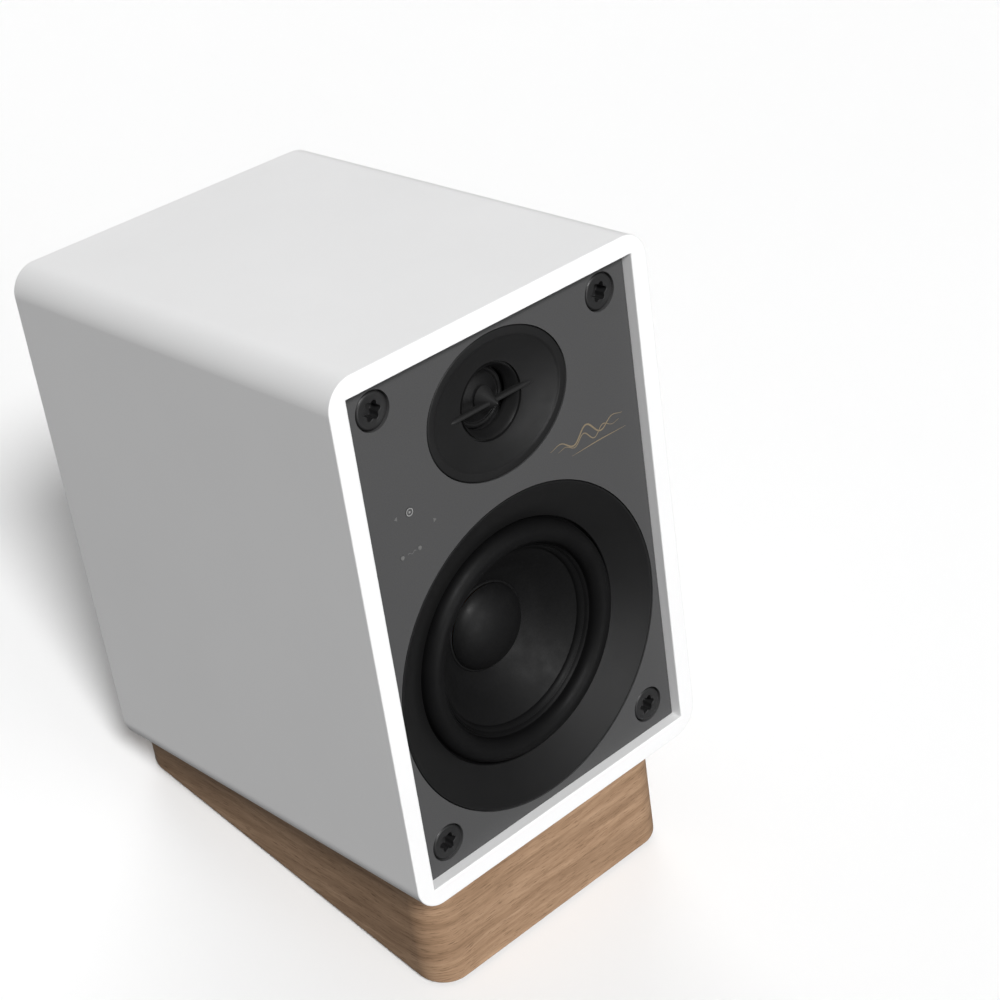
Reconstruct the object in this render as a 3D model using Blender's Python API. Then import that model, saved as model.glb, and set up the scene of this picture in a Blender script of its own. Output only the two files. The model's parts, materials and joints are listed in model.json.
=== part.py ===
"""Active bookshelf speaker: a white lacquered cabinet with a charcoal baffle on a walnut wedge stand.

Cabinet coordinates, in metres: x to the right, y from the front edge into the cabinet, z up from the
cabinet's underside. The empty "cabinet_frame" leans them back, so that the wedge's underside is level.
World coordinates: the floor is z = 0, and the origin is under the middle of the speaker.
"""
from math import cos, pi, radians, sin, tan

import bmesh
import bpy

# Cabinet and its lean
WIDTH = 0.1593
HEIGHT = 0.230
DEPTH = 0.1994
WALL = 0.0082
EDGE_RADIUS = 0.012
LEAN = radians(10.0)
GAP = 0.0003
BEYOND = 0.010          # how far a cutter reaches past the surface it cuts

# Wedge stand
STAND_SIDE_INSET = 0.012
STAND_FRONT = 0.013
STAND_BACK = 0.2114
STAND_CORNER = 0.0135
STAND_DROP = 0.0572
FOOT_RADIUS = 0.008
FOOT_HEIGHT = 0.0012
FOOT_X = 0.050
FOOT_INSET = 0.022
STAND_SCREWS = (0.070, 0.160)
STAND_SEAT = -0.014
STAND_HOLE = 0.0053
STAND_HEAD = 0.0043
STAND_SHANK = 0.0016
STAND_SHANK_TOP = 0.0062
STAND_PILOT = 0.0019
STAND_PILOT_TOP = 0.0068

# Front baffle
BAFFLE_RECESS = 0.005
BAFFLE_THICK = 0.018
BAFFLE_FRONT = BAFFLE_RECESS
BAFFLE_BACK = BAFFLE_FRONT + BAFFLE_THICK
SCREW_X = 0.0575
SCREW_Z = (0.0206, 0.2102)
SCREW_HEAD = 0.0073
HEAD_FRONT = BAFFLE_FRONT + 0.0002
HEAD_SEAT = BAFFLE_FRONT + 0.0037
HEAD_CHAMFER = 0.0006
SHANK_RADIUS = 0.0017
SHANK_LENGTH = 0.014
LOBE_OUTER = 0.0041
LOBE_INNER = 0.0030
LOBE_DEPTH = 0.0024
COUNTERBORE = 0.0079
COUNTERBORE_DEPTH = 0.0040
CLEARANCE_HOLE = 0.0028
PILOT_HOLE = 0.0021
PILOT_DEPTH = 0.016
BLOCK_WIDTH = 0.026
BLOCK_HEIGHT = 0.024
BLOCK_DEPTH = 0.022

# Woofer, along the cabinet's y
WOOFER_Z = 0.0803
TRIM_OUTER = 0.0682
TRIM_INNER = 0.0517
TRIM_DISH = 0.008
TRIM_BACK = 0.0150
ROLL_OUTER = 0.0513
ROLL_INNER = 0.0410
ROLL_THICK = 0.0008
ROLL_BASE = 0.0138
ROLL_FOOT = 0.055
FLANGE_RADIUS = 0.066
FLANGE_FRONT = 0.0165
FLANGE_THICK = 0.0025
FLANGE_BACK = FLANGE_FRONT + FLANGE_THICK
BASKET_HOLE = 0.057
BASKET_MOUTH = 0.0505
BASKET_SHOULDER = 0.0560
BASKET_WAIST = 0.0375
BASKET_NECK = 0.0176
BASKET_FLOOR = 0.0500
BASKET_WALL = 0.0020
BASKET_FLOOR_THICK = 0.0025
WINDOW_HALF_WIDTH = 0.017
WINDOW_Y = (0.0245, 0.0460)
CONE_RIM = 0.0406
CONE_RIM_Y = 0.0146
CONE_NECK = 0.0166
CONE_NECK_Y = 0.0345
CONE_CURVE = 0.92
CONE_SLANT_THICK = 0.0016
CAP_RADIUS = 0.0182
CAP_BASE_Y = 0.0312
CAP_RISE = 0.0068
CAP_THICK = 0.0009
COIL_INNER = 0.0153
COIL_OUTER = 0.0163
WINDING_OUTER = 0.0169
POLE_RADIUS = 0.0148
COIL_START = 0.0340
COIL_WINDING = 0.0524
COIL_END = 0.0610
SPIDER_OUTER = 0.0355
SPIDER_Y = 0.0405
SPIDER_WAVE = 0.0010
SPIDER_THICK = 0.0007
MAGNET_FRONT = 0.0528
TOP_PLATE_RADIUS = 0.038
TOP_PLATE_BORE = 0.0174
TOP_PLATE_THICK = 0.006
MAGNET_RADIUS = 0.042
MAGNET_BORE = 0.021
MAGNET_THICK = 0.015
YOKE_THICK = 0.006
WOOFER_SCREW_CIRCLE = 0.061
WOOFER_SCREW_HEAD = 0.0034
WOOFER_SCREW_FRONT = 0.0142

# Tweeter
TWEETER_Z = 0.1877
TWEETER_HALF_WIDTH = 0.0355
TWEETER_HALF_HEIGHT = 0.029
TWEETER_LIP = 0.0038
TWEETER_BOWL_EDGE = 0.0005
TWEETER_BOWL_DEPTH = 0.0040
TWEETER_BOWL_CURVE = 1.3
THROAT_RADIUS = 0.015
THROAT_BACK_RADIUS = 0.0124
THROAT_BACK = 0.009
FACEPLATE_THICK = 0.010
BRIDGE_HALF_LENGTH = 0.0218
BRIDGE_FRONT = 0.0027
BRIDGE_BACK = 0.0052
BRIDGE_THICK = 0.0019
PLUG_RADIUS = 0.0054
PLUG_CURVE = 0.92
PLUG_BASE = 0.0082
DOME_RADIUS = 0.0098
DOME_APEX = 0.0088
DOME_BASE = 0.0115
DOME_EDGE = 0.0121
DOME_FORMER = 0.0070
CUP_RADIUS = 0.026
CUP_DEPTH = 0.022
CUP_WELL = 0.0150
CUP_STEP = 0.0030
CUP_GAP = (0.0090, 0.0112, 0.012)

# Indicators: x, z and radius of each light pipe, and the box that their board fills
LIGHTS = ((-0.0490, 0.1654, 0.0018), (-0.0555, 0.1492, 0.0009), (-0.0470, 0.1494, 0.0009))
LIGHT_BOARD_X = (-0.062, -0.036)
LIGHT_BOARD_Z = (0.143, 0.172)
BOARD_THICK = 0.0016

# Rear: panel, reflex port and amplifier plate
REAR_THICK = 0.012
REAR_FACE = DEPTH - 0.002
REAR_FRONT = REAR_FACE - REAR_THICK
PORT_Z = 0.185
PORT_BORE = 0.018
PORT_WALL = 0.002
PORT_FLARE = 0.0265
PORT_LENGTH = 0.085
PORT_LIP = 0.0025
PANEL_WINDOW_HALF_WIDTH = 0.048
PANEL_WINDOW_Z = (0.034, 0.144)
PLATE_HALF_WIDTH = 0.058
PLATE_Z = (0.022, 0.154)
PLATE_THICK = 0.0025
PLATE_FRONT = REAR_FACE + GAP
PLATE_FACE = PLATE_FRONT + PLATE_THICK
PLATE_ENDS = (PLATE_FRONT - 0.002, PLATE_FACE + 0.002)
MOUNT_FACE = PLATE_FACE + GAP
PLATE_CORNER = 0.003
PLATE_SCREWS = ((-0.052, 0.028), (0.052, 0.028), (-0.052, 0.148), (0.052, 0.148))
PLATE_HEAD = 0.0034
PLATE_HEAD_RISE = 0.0018
SLOT_HALF_LENGTH = 0.0016
SLOT_HALF_WIDTH = 0.0004
SLOT_DEPTH = 0.0009
BOARD_Y = 0.183
SHAFT_START = BOARD_Y + 0.0025
BOARD_HALF_WIDTH = 0.046
BOARD_Z = (0.063, 0.142)
CORE_HALF_WIDTH = 0.026
CORE_Y = (0.105, 0.149)
CORE_HEIGHT = 0.040
BOBBIN_HALF_WIDTH = 0.018
BOBBIN_Y = (0.095, 0.159)
BOBBIN_Z = (0.008, 0.032)
KNOB_Z = 0.134
KNOBS = {"volume_knob": (-0.034, 0.011, 0.013), "treble_knob": (0.002, 0.008, 0.013),
         "bass_knob": (0.032, 0.008, 0.013)}
SHAFT_RADIUS = 0.003
JACK_Z = 0.101
JACKS = {"rca_jack_white": -0.040, "rca_jack_red": -0.020}
JACK_BODY = 0.0042
JACK_COLLAR = 0.0062
JACK_COLLAR_THICK = 0.0016
JACK_LENGTH = 0.0095
JACK_BORE = 0.0017
TERMINAL_Z = 0.096
TERMINALS = {"red": 0.012, "black": 0.036}
POST_RADIUS = 0.002
POST_BODY = 0.0040
POST_COLLAR = 0.0070
POST_COLLAR_THICK = 0.0022
POST_LENGTH = 0.0130
CAP_BORE = POST_RADIUS + 0.0004
CAP_OUTER = 0.0066
CAP_LENGTH = 0.0135
CAP_CHAMFER = 0.0008
INLET = (-0.026, 0.052)
SWITCH = (0.026, 0.052)
INLET_FLANGE = (0.0135, 0.0110, 0.0022)
INLET_BODY = (0.0100, 0.0075, 0.0150)
SOCKET = (0.0072, 0.0041, 0.0120)
PIN_RADIUS = 0.0011
PIN_X = 0.0042
SWITCH_FLANGE = (0.0085, 0.0120, 0.0015)
SWITCH_BODY = (0.0065, 0.0100, 0.0135)
SWITCH_WELL = (0.0055, 0.0090, 0.0115)
ROCKER_PIVOT_Y = MOUNT_FACE - 0.0015
ROCKER_HALF_WIDTH = 0.0051
ROCKER_SIDE = ((0.0030, -0.0079), (0.0015, 0.0), (0.0030, 0.0079), (-0.0030, 0.0074), (-0.0030, -0.0074))
ROCKER_TILT = radians(7.0)

# Segments round a large, a middling and a small turned piece
LARGE = 48
MEDIUM = 28
SMALL = 18
TINY = 10


def material(name, colour, roughness, metallic=0.0):
    """A Principled material with one colour."""
    made = bpy.data.materials.new(name)
    made.use_nodes = True
    shader = made.node_tree.nodes["Principled BSDF"]
    shader.inputs["Base Color"].default_value = (*colour, 1.0)
    shader.inputs["Roughness"].default_value = roughness
    shader.inputs["Metallic"].default_value = metallic
    return made


def add_object(name, bm, finish, location=(0.0, 0.0, 0.0), parent=None):
    """An object from a closed bmesh in cabinet coordinates, with its origin at location."""
    for vert in bm.verts:
        vert.co.x -= location[0]
        vert.co.y -= location[1]
        vert.co.z -= location[2]
    bmesh.ops.recalc_face_normals(bm, faces=bm.faces)
    if bm.calc_volume(signed=True) < 0.0:
        bmesh.ops.reverse_faces(bm, faces=bm.faces)
    mesh = bpy.data.meshes.new(name)
    bm.to_mesh(mesh)
    bm.free()
    mesh.shade_smooth()
    mesh.set_sharp_from_angle(angle=radians(35.0))
    made = bpy.data.objects.new(name, mesh)
    bpy.context.collection.objects.link(made)
    made.parent = parent
    made.location = location
    if finish:
        mesh.materials.append(finish)
    return made


def bridge_rings(bm, rings, closed):
    """Faces between neighbouring rings of vertices; a ring of one vertex is a pole."""
    pairs = list(zip(rings, rings[1:]))
    if closed:
        pairs.append((rings[-1], rings[0]))
    for first, second in pairs:
        count = max(len(first), len(second))
        for i in range(count):
            j = (i + 1) % count
            corners = [first[i % len(first)], first[j % len(first)],
                       second[j % len(second)], second[i % len(second)]]
            unique = list(dict.fromkeys(corners))
            if len(unique) > 2:
                bm.faces.new(unique)


def turned(profile, segments, centre=(0.0, 0.0)):
    """A solid turned about a line along y through (x, z): profile of (radius, y) points.

    A profile that starts and ends on the axis is a plug, and any other is a closed ring.
    """
    bm = bmesh.new()
    rings = []
    for radius, y in profile:
        if radius == 0.0:
            rings.append([bm.verts.new((centre[0], y, centre[1]))])
            continue
        angles = [2 * pi * (k + 0.5) / segments for k in range(segments)]
        rings.append([bm.verts.new((centre[0] + radius * cos(a), y, centre[1] + radius * sin(a)))
                      for a in angles])
    bridge_rings(bm, rings, closed=profile[0][0] > 0.0)
    return bm


def rod(radius, y0, y1, centre, segments=SMALL):
    """A plain cylinder along y."""
    return turned([(0.0, y0), (radius, y0), (radius, y1), (0.0, y1)], segments, centre)


def box(x0, x1, y0, y1, z0, z1):
    """A box between two corners."""
    bm = bmesh.new()
    for y in (y0, y1):
        bm.faces.new([bm.verts.new((x, y, z)) for x, z in ((x0, z0), (x1, z0), (x1, z1), (x0, z1))])
    bmesh.ops.bridge_loops(bm, edges=bm.edges[:])
    return bm


def rounded_outline(x0, x1, z0, z1, radius, steps=6):
    """Points round a rectangle with round corners."""
    points = []
    for corner, (cx, cz) in enumerate(((x1 - radius, z1 - radius), (x0 + radius, z1 - radius),
                                       (x0 + radius, z0 + radius), (x1 - radius, z0 + radius))):
        for k in range(steps + 1):
            angle = (corner + k / steps) * pi / 2
            points.append((cx + radius * cos(angle), cz + radius * sin(angle)))
    return points


def prism(outline, y0, y1):
    """An outline of (x, z) points extruded along y."""
    bm = bmesh.new()
    loops = [[bm.verts.new((x, y, z)) for x, z in outline] for y in (y0, y1)]
    bridge_rings(bm, loops, closed=False)
    for loop in loops:
        bm.faces.new(loop)
    return bm


def apply_boolean(target, tool, operation):
    """Cut or join target with tool, and keep tool as a hidden guide."""
    tool.hide_render = True
    tool.display_type = "WIRE"
    step = target.modifiers.new(operation.lower(), "BOOLEAN")
    step.operation = operation
    step.object = tool


def cut(target, bm):
    """Take a bmesh away from an object; both are in the same coordinates."""
    tool = add_object(target.name + "_cut", bm, None, parent=target.parent)
    apply_boolean(target, tool, "DIFFERENCE")


def join(target, bm):
    """Add a bmesh to an object; both are in the same coordinates."""
    tool = add_object(target.name + "_join", bm, None, parent=target.parent)
    apply_boolean(target, tool, "UNION")


def star(radius_out, radius_in, y0, y1, centre, lobes=6):
    """A recess with rounded lobes, as in a screw head."""
    outline = []
    for k in range(lobes * 2):
        radius = radius_in if k % 2 else radius_out
        angle = pi * k / lobes
        outline.append((centre[0] + radius * cos(angle), centre[1] + radius * sin(angle)))
    return prism(outline, y0, y1)


def lean_frame():
    """The empty that leans the cabinet back and stands it on the floor."""
    frame = bpy.data.objects.new("cabinet_frame", None)
    bpy.context.collection.objects.link(frame)
    span = DEPTH * cos(LEAN) + HEIGHT * sin(LEAN)
    frame.rotation_euler = (-LEAN, 0.0, 0.0)
    frame.location = (0.0, -span / 2, STAND_DROP * cos(LEAN) + FOOT_HEIGHT + GAP)
    return frame


def make_cabinet(frame, mats):
    """The cabinet's four walls as one tube, and the blocks that take the baffle's screws."""
    half = WIDTH / 2
    shell = add_object("cabinet_shell", prism(rounded_outline(-half, half, 0.0, HEIGHT, EDGE_RADIUS),
                                              0.0, DEPTH), mats["lacquer"], parent=frame)
    inner = half - WALL
    cut(shell, box(-inner, inner, -BEYOND, DEPTH + BEYOND, WALL, HEIGHT - WALL))
    for y in STAND_SCREWS:
        cut(shell, upright_rod(STAND_PILOT, -BEYOND, STAND_PILOT_TOP, y))
    y0 = BAFFLE_BACK + GAP
    number = 0
    for side in (-1, 1):
        for low, screw_z in zip((True, False), SCREW_Z):
            number += 1
            x0, x1 = sorted((side * (inner - GAP), side * (inner - BLOCK_WIDTH)))
            z0 = WALL + GAP if low else HEIGHT - WALL - BLOCK_HEIGHT
            z1 = z0 + BLOCK_HEIGHT - GAP
            block = add_object(f"corner_block_{number}", box(x0, x1, y0, y0 + BLOCK_DEPTH, z0, z1),
                               mats["pine"], parent=frame)
            cut(block, rod(PILOT_HOLE, y0 - BEYOND, y0 + PILOT_DEPTH, (side * SCREW_X, screw_z), TINY))


def make_baffle(frame, mats):
    """The recessed front board with its counterbores, and the four screws that hold it."""
    half = WIDTH / 2 - WALL - GAP
    baffle = add_object("front_baffle", box(-half, half, BAFFLE_FRONT, BAFFLE_BACK, WALL + GAP,
                                            HEIGHT - WALL - GAP), mats["charcoal"], parent=frame)
    woofer = (0.0, WOOFER_Z)
    tweeter = (0.0, TWEETER_Z)
    rebate = FLANGE_BACK + GAP
    inside = rebate - 0.005
    ends = (BAFFLE_FRONT - BEYOND, BAFFLE_BACK + BEYOND)
    cut(baffle, rod(TRIM_OUTER + GAP, ends[0], rebate, woofer, LARGE))
    cut(baffle, rod(BASKET_HOLE, inside, ends[1], woofer, LARGE))
    cut(baffle, prism(ellipse(TWEETER_HALF_WIDTH + GAP, TWEETER_HALF_HEIGHT + GAP), ends[0],
                      BAFFLE_FRONT + FACEPLATE_THICK + GAP))
    cut(baffle, rod(CUP_RADIUS + 0.001, BAFFLE_FRONT + 0.005, ends[1], tweeter, MEDIUM))
    for x, z, radius in LIGHTS:
        cut(baffle, rod(radius + GAP, ends[0], ends[1], (x, z), TINY))
    for place in woofer_screw_places():
        cut(baffle, rod(SHANK_RADIUS + GAP, inside, ends[1], place, TINY))
    places = [(x, z) for x in (-SCREW_X, SCREW_X) for z in SCREW_Z]
    for number, place in enumerate(places, 1):
        cut(baffle, rod(COUNTERBORE, ends[0], BAFFLE_FRONT + COUNTERBORE_DEPTH, place))
        cut(baffle, rod(CLEARANCE_HOLE, BAFFLE_FRONT, ends[1], place, TINY))
        make_baffle_screw(frame, mats, number, place)


def make_baffle_screw(frame, mats, number, place):
    """A flat-headed screw with a lobed recess, through the baffle into its corner block."""
    end = BAFFLE_BACK + SHANK_LENGTH
    profile = [(0.0, HEAD_FRONT), (SCREW_HEAD - HEAD_CHAMFER, HEAD_FRONT),
               (SCREW_HEAD, HEAD_FRONT + HEAD_CHAMFER), (SCREW_HEAD, HEAD_SEAT),
               (SHANK_RADIUS, HEAD_SEAT), (SHANK_RADIUS, end), (0.0, end + 0.001)]
    screw = add_object(f"baffle_screw_{number}", turned(profile, SMALL, place),
                       mats["black_steel"], parent=frame)
    cut(screw, star(LOBE_OUTER, LOBE_INNER, HEAD_FRONT - BEYOND, HEAD_FRONT + LOBE_DEPTH, place))


def ellipse(half_width, half_height, segments=LARGE):
    """Points round the tweeter's ellipse."""
    angles = [2 * pi * (k + 0.5) / segments for k in range(segments)]
    return [(half_width * cos(a), TWEETER_Z + half_height * sin(a)) for a in angles]


def woofer_screw_places():
    """Where the woofer's four screws stand, as (x, z)."""
    reach = WOOFER_SCREW_CIRCLE * cos(pi / 4)
    return [(x, WOOFER_Z + z) for x in (-reach, reach) for z in (-reach, reach)]


def roll_profile():
    """The rubber roll: a foot under the trim ring, and a half round bulging forward."""
    middle = (ROLL_OUTER + ROLL_INNER) / 2
    reach = (ROLL_OUTER - ROLL_INNER) / 2
    angles = [pi * k / 5 for k in range(6)]
    outer = [(middle + reach * cos(a), ROLL_BASE - reach * sin(a)) for a in angles]
    inside = reach - ROLL_THICK
    inner = [(middle + inside * cos(a), ROLL_BASE - inside * sin(a)) for a in reversed(angles)]
    top = TRIM_BACK + GAP
    low = FLANGE_FRONT - GAP
    heel = ROLL_OUTER - ROLL_THICK
    return [(ROLL_FOOT, low), (ROLL_FOOT, top), (ROLL_OUTER, top)] + outer + inner + [(heel, low)]


def make_woofer_frame(frame, mats):
    """The woofer's still pieces: trim ring, basket, screws, roll, spider and magnet."""
    centre = (0.0, WOOFER_Z)
    dished = BAFFLE_FRONT + TRIM_DISH
    trim = add_object("woofer_trim_ring", turned(
        [(TRIM_OUTER, BAFFLE_FRONT), (TRIM_INNER, dished), (TRIM_INNER, TRIM_BACK),
         (TRIM_OUTER, TRIM_BACK)], LARGE, centre), mats["black_plastic"], parent=frame)
    rear = BASKET_FLOOR + BASKET_FLOOR_THICK
    basket = add_object("woofer_basket", turned(
        [(FLANGE_RADIUS, FLANGE_FRONT), (BASKET_MOUTH, FLANGE_FRONT), (BASKET_MOUTH, FLANGE_BACK),
         (BASKET_WAIST, BASKET_FLOOR), (BASKET_NECK, BASKET_FLOOR), (BASKET_NECK, rear),
         (BASKET_WAIST + BASKET_WALL, rear), (BASKET_SHOULDER, FLANGE_BACK),
         (FLANGE_RADIUS, FLANGE_BACK)], LARGE, centre), mats["black_steel"], parent=frame)
    for quarter in range(4):
        cut(basket, basket_window(quarter * pi / 2))
    for number, place in enumerate(woofer_screw_places(), 1):
        cut(trim, rod(WOOFER_SCREW_HEAD + 0.0008, WOOFER_SCREW_FRONT - 0.0005, TRIM_BACK + BEYOND,
                      place, TINY))
        cut(basket, rod(SHANK_RADIUS + 2 * GAP, FLANGE_FRONT - 0.002, FLANGE_BACK + 0.004, place, TINY))
        seat = FLANGE_FRONT - GAP
        end = BAFFLE_BACK - GAP
        profile = [(0.0, WOOFER_SCREW_FRONT), (WOOFER_SCREW_HEAD, WOOFER_SCREW_FRONT),
                   (WOOFER_SCREW_HEAD, seat), (SHANK_RADIUS, seat), (SHANK_RADIUS, end), (0.0, end)]
        add_object(f"woofer_screw_{number}", turned(profile, TINY, place), mats["steel"], parent=frame)
    add_object("woofer_surround", turned(roll_profile(), LARGE, centre), mats["rubber"], parent=frame)
    add_object("woofer_spider", turned(spider_profile(), MEDIUM, centre), mats["cloth"], parent=frame)
    make_magnet(frame, mats, centre)


def make_magnet(frame, mats, centre):
    """The woofer's top plate, ring magnet, and yoke with its pole."""
    plate_back = MAGNET_FRONT + TOP_PLATE_THICK
    add_object("woofer_top_plate", turned(
        [(TOP_PLATE_RADIUS, MAGNET_FRONT), (TOP_PLATE_BORE, MAGNET_FRONT), (TOP_PLATE_BORE, plate_back),
         (TOP_PLATE_RADIUS, plate_back)], LARGE, centre), mats["steel"], parent=frame)
    start = plate_back + GAP
    magnet_back = plate_back + MAGNET_THICK
    add_object("woofer_magnet", turned(
        [(MAGNET_RADIUS, start), (MAGNET_BORE, start), (MAGNET_BORE, magnet_back),
         (MAGNET_RADIUS, magnet_back)], LARGE, centre), mats["ferrite"], parent=frame)
    yoke = magnet_back + GAP
    yoke_back = magnet_back + YOKE_THICK
    add_object("woofer_yoke", turned(
        [(0.0, MAGNET_FRONT), (POLE_RADIUS, MAGNET_FRONT), (POLE_RADIUS, yoke),
         (TOP_PLATE_RADIUS, yoke), (TOP_PLATE_RADIUS, yoke_back), (0.0, yoke_back)],
        LARGE, centre), mats["steel"], parent=frame)


def basket_window(angle):
    """A slot through the basket's sloping wall."""
    bm = box(BASKET_WAIST - 0.0095, FLANGE_RADIUS + 0.004, *WINDOW_Y, -WINDOW_HALF_WIDTH, WINDOW_HALF_WIDTH)
    for vert in bm.verts:
        x, z = vert.co.x, vert.co.z
        vert.co.x = x * cos(angle) - z * sin(angle)
        vert.co.z = WOOFER_Z + x * sin(angle) + z * cos(angle)
    return bm


def spider_profile():
    """The corrugated cloth disc behind the cone."""
    inner = COIL_OUTER + 2 * GAP
    waves = 8
    radii = [inner + (SPIDER_OUTER - inner) * k / waves for k in range(waves + 1)]
    height = [SPIDER_Y + SPIDER_WAVE * cos(pi * k / 2) for k in range(waves + 1)]
    face = list(zip(radii, height))
    return face + [(radius, y + SPIDER_THICK) for radius, y in reversed(face)]


def make_woofer_cone(frame, mats):
    """The moving pieces of the woofer, with their origins on its axis."""
    centre = (0.0, WOOFER_Z)
    origin = (0.0, CONE_RIM_Y, WOOFER_Z)
    steps = 4
    face = []
    for k in range(steps + 1):
        part = k / steps
        face.append((CONE_RIM + (CONE_NECK - CONE_RIM) * part,
                     CONE_RIM_Y + (CONE_NECK_Y - CONE_RIM_Y) * part ** CONE_CURVE))
    back = [(radius, y + CONE_SLANT_THICK) for radius, y in reversed(face)]
    add_object("woofer_cone", turned(face + back, LARGE, centre), mats["paper"], origin, frame)
    cap_steps = 4
    cap = []
    for k in range(cap_steps + 1):
        angle = k / cap_steps * pi / 2
        cap.append((CAP_RADIUS * sin(angle), CAP_BASE_Y - CAP_RISE * cos(angle)))
    inside = [(radius * 0.95, y + CAP_THICK) for radius, y in reversed(cap)]
    profile = cap[:-1] + [(CAP_RADIUS, CAP_BASE_Y - 0.0010)] + inside
    add_object("woofer_dust_cap", turned(profile, MEDIUM, centre), mats["cap"], origin, frame)
    add_object("woofer_voice_coil", turned(
        [(COIL_INNER, COIL_START), (COIL_OUTER, COIL_START), (COIL_OUTER, COIL_WINDING - 0.0004),
         (WINDING_OUTER, COIL_WINDING), (WINDING_OUTER, COIL_END), (COIL_INNER, COIL_END)],
        MEDIUM, centre), mats["copper"], origin, frame)


def faceplate_rings():
    """Rings of the tweeter's faceplate from its outer edge into the throat, as (x, y, z) points."""
    front = BAFFLE_FRONT
    back = front + FACEPLATE_THICK
    lip_width = TWEETER_HALF_WIDTH - TWEETER_LIP
    lip_height = TWEETER_HALF_HEIGHT - TWEETER_LIP
    levels = [(TWEETER_HALF_WIDTH, TWEETER_HALF_HEIGHT, back),
              (TWEETER_HALF_WIDTH, TWEETER_HALF_HEIGHT, front),
              (lip_width, lip_height, front)]
    steps = 4
    for k in range(steps + 1):
        part = k / steps
        drop = 1 - (1 - part) ** TWEETER_BOWL_CURVE
        depth = TWEETER_BOWL_EDGE + (TWEETER_BOWL_DEPTH - TWEETER_BOWL_EDGE) * drop
        levels.append((lip_width + (THROAT_RADIUS - lip_width) * part,
                       lip_height + (THROAT_RADIUS - lip_height) * part, front + depth))
    levels.append((THROAT_BACK_RADIUS, THROAT_BACK_RADIUS, front + THROAT_BACK))
    levels.append((THROAT_BACK_RADIUS, THROAT_BACK_RADIUS, back))
    return [[(x, y, z) for x, z in ellipse(width, height)] for width, height, y in levels]


def make_tweeter(frame, mats):
    """The elliptical waveguide, the bridge with its plug, the magnet cup and the dome."""
    centre = (0.0, TWEETER_Z)
    front = BAFFLE_FRONT
    bm = bmesh.new()
    bridge_rings(bm, [[bm.verts.new(point) for point in ring] for ring in faceplate_rings()], closed=True)
    plate = add_object("tweeter_faceplate", bm, mats["black_plastic"], parent=frame)
    half = BRIDGE_THICK / 2
    cut(plate, box(-BRIDGE_HALF_LENGTH - GAP, BRIDGE_HALF_LENGTH + GAP, front - BEYOND,
                   front + BRIDGE_BACK + GAP, TWEETER_Z - half - GAP, TWEETER_Z + half + GAP))
    bridge = add_object("tweeter_bridge", box(
        -BRIDGE_HALF_LENGTH, BRIDGE_HALF_LENGTH, front + BRIDGE_FRONT, front + BRIDGE_BACK,
        TWEETER_Z - half, TWEETER_Z + half), mats["black_plastic"], parent=frame)
    plug = [(0.0, front)]
    for part in (0.2, 0.4, 0.6, 0.8, 1.0):
        plug.append((PLUG_RADIUS * part ** PLUG_CURVE, front + PLUG_BASE * part))
    join(bridge, turned(plug + [(0.0, front + PLUG_BASE)], SMALL, centre))
    cup_front = front + FACEPLATE_THICK + GAP
    step = cup_front + CUP_STEP
    pole, bore, gap_depth = CUP_GAP
    add_object("tweeter_magnet_cup", turned(
        [(0.0, step + 0.0005), (pole, step + 0.0005), (pole, cup_front + gap_depth),
         (bore, cup_front + gap_depth), (bore, step), (CUP_WELL, step), (CUP_WELL, cup_front),
         (CUP_RADIUS, cup_front), (CUP_RADIUS, cup_front + CUP_DEPTH), (0.0, cup_front + CUP_DEPTH)],
        MEDIUM, centre), mats["steel"], parent=frame)
    add_object("tweeter_dome", turned(dome_profile(), MEDIUM, centre), mats["silk"],
               (0.0, front + DOME_BASE, TWEETER_Z), frame)


def dome_profile():
    """The dome, the narrow roll round it and the coil former behind it, as (radius, y) points."""
    steps = 3
    edge = BAFFLE_FRONT + DOME_BASE
    rise = DOME_BASE - DOME_APEX
    dome = [(DOME_RADIUS * sin(k / steps * pi / 2), edge - rise * cos(k / steps * pi / 2))
            for k in range(steps + 1)]
    crest = edge - 0.0007
    under = edge + 0.0004
    former = DOME_RADIUS + 0.0005
    roll = [(DOME_RADIUS + 0.0006, crest), (DOME_EDGE - 0.0006, crest), (DOME_EDGE, edge),
            (DOME_EDGE, under), (former, under), (former, edge + DOME_FORMER),
            (DOME_RADIUS, edge + DOME_FORMER)]
    inside = [(radius * 0.95, y + 0.0005) for radius, y in reversed(dome)]
    return dome + roll + inside


def make_indicators(frame, mats):
    """The light pipes through the baffle and the small board behind them."""
    for number, (x, z, radius) in enumerate(LIGHTS, 1):
        add_object(f"indicator_light_{number}", rod(radius, BAFFLE_FRONT - 0.0001, BAFFLE_BACK, (x, z), TINY),
                   mats["clear"], parent=frame)
    y = BAFFLE_BACK + GAP
    add_object("indicator_board", box(*LIGHT_BOARD_X, y, y + BOARD_THICK, *LIGHT_BOARD_Z),
               mats["board"], parent=frame)


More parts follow.
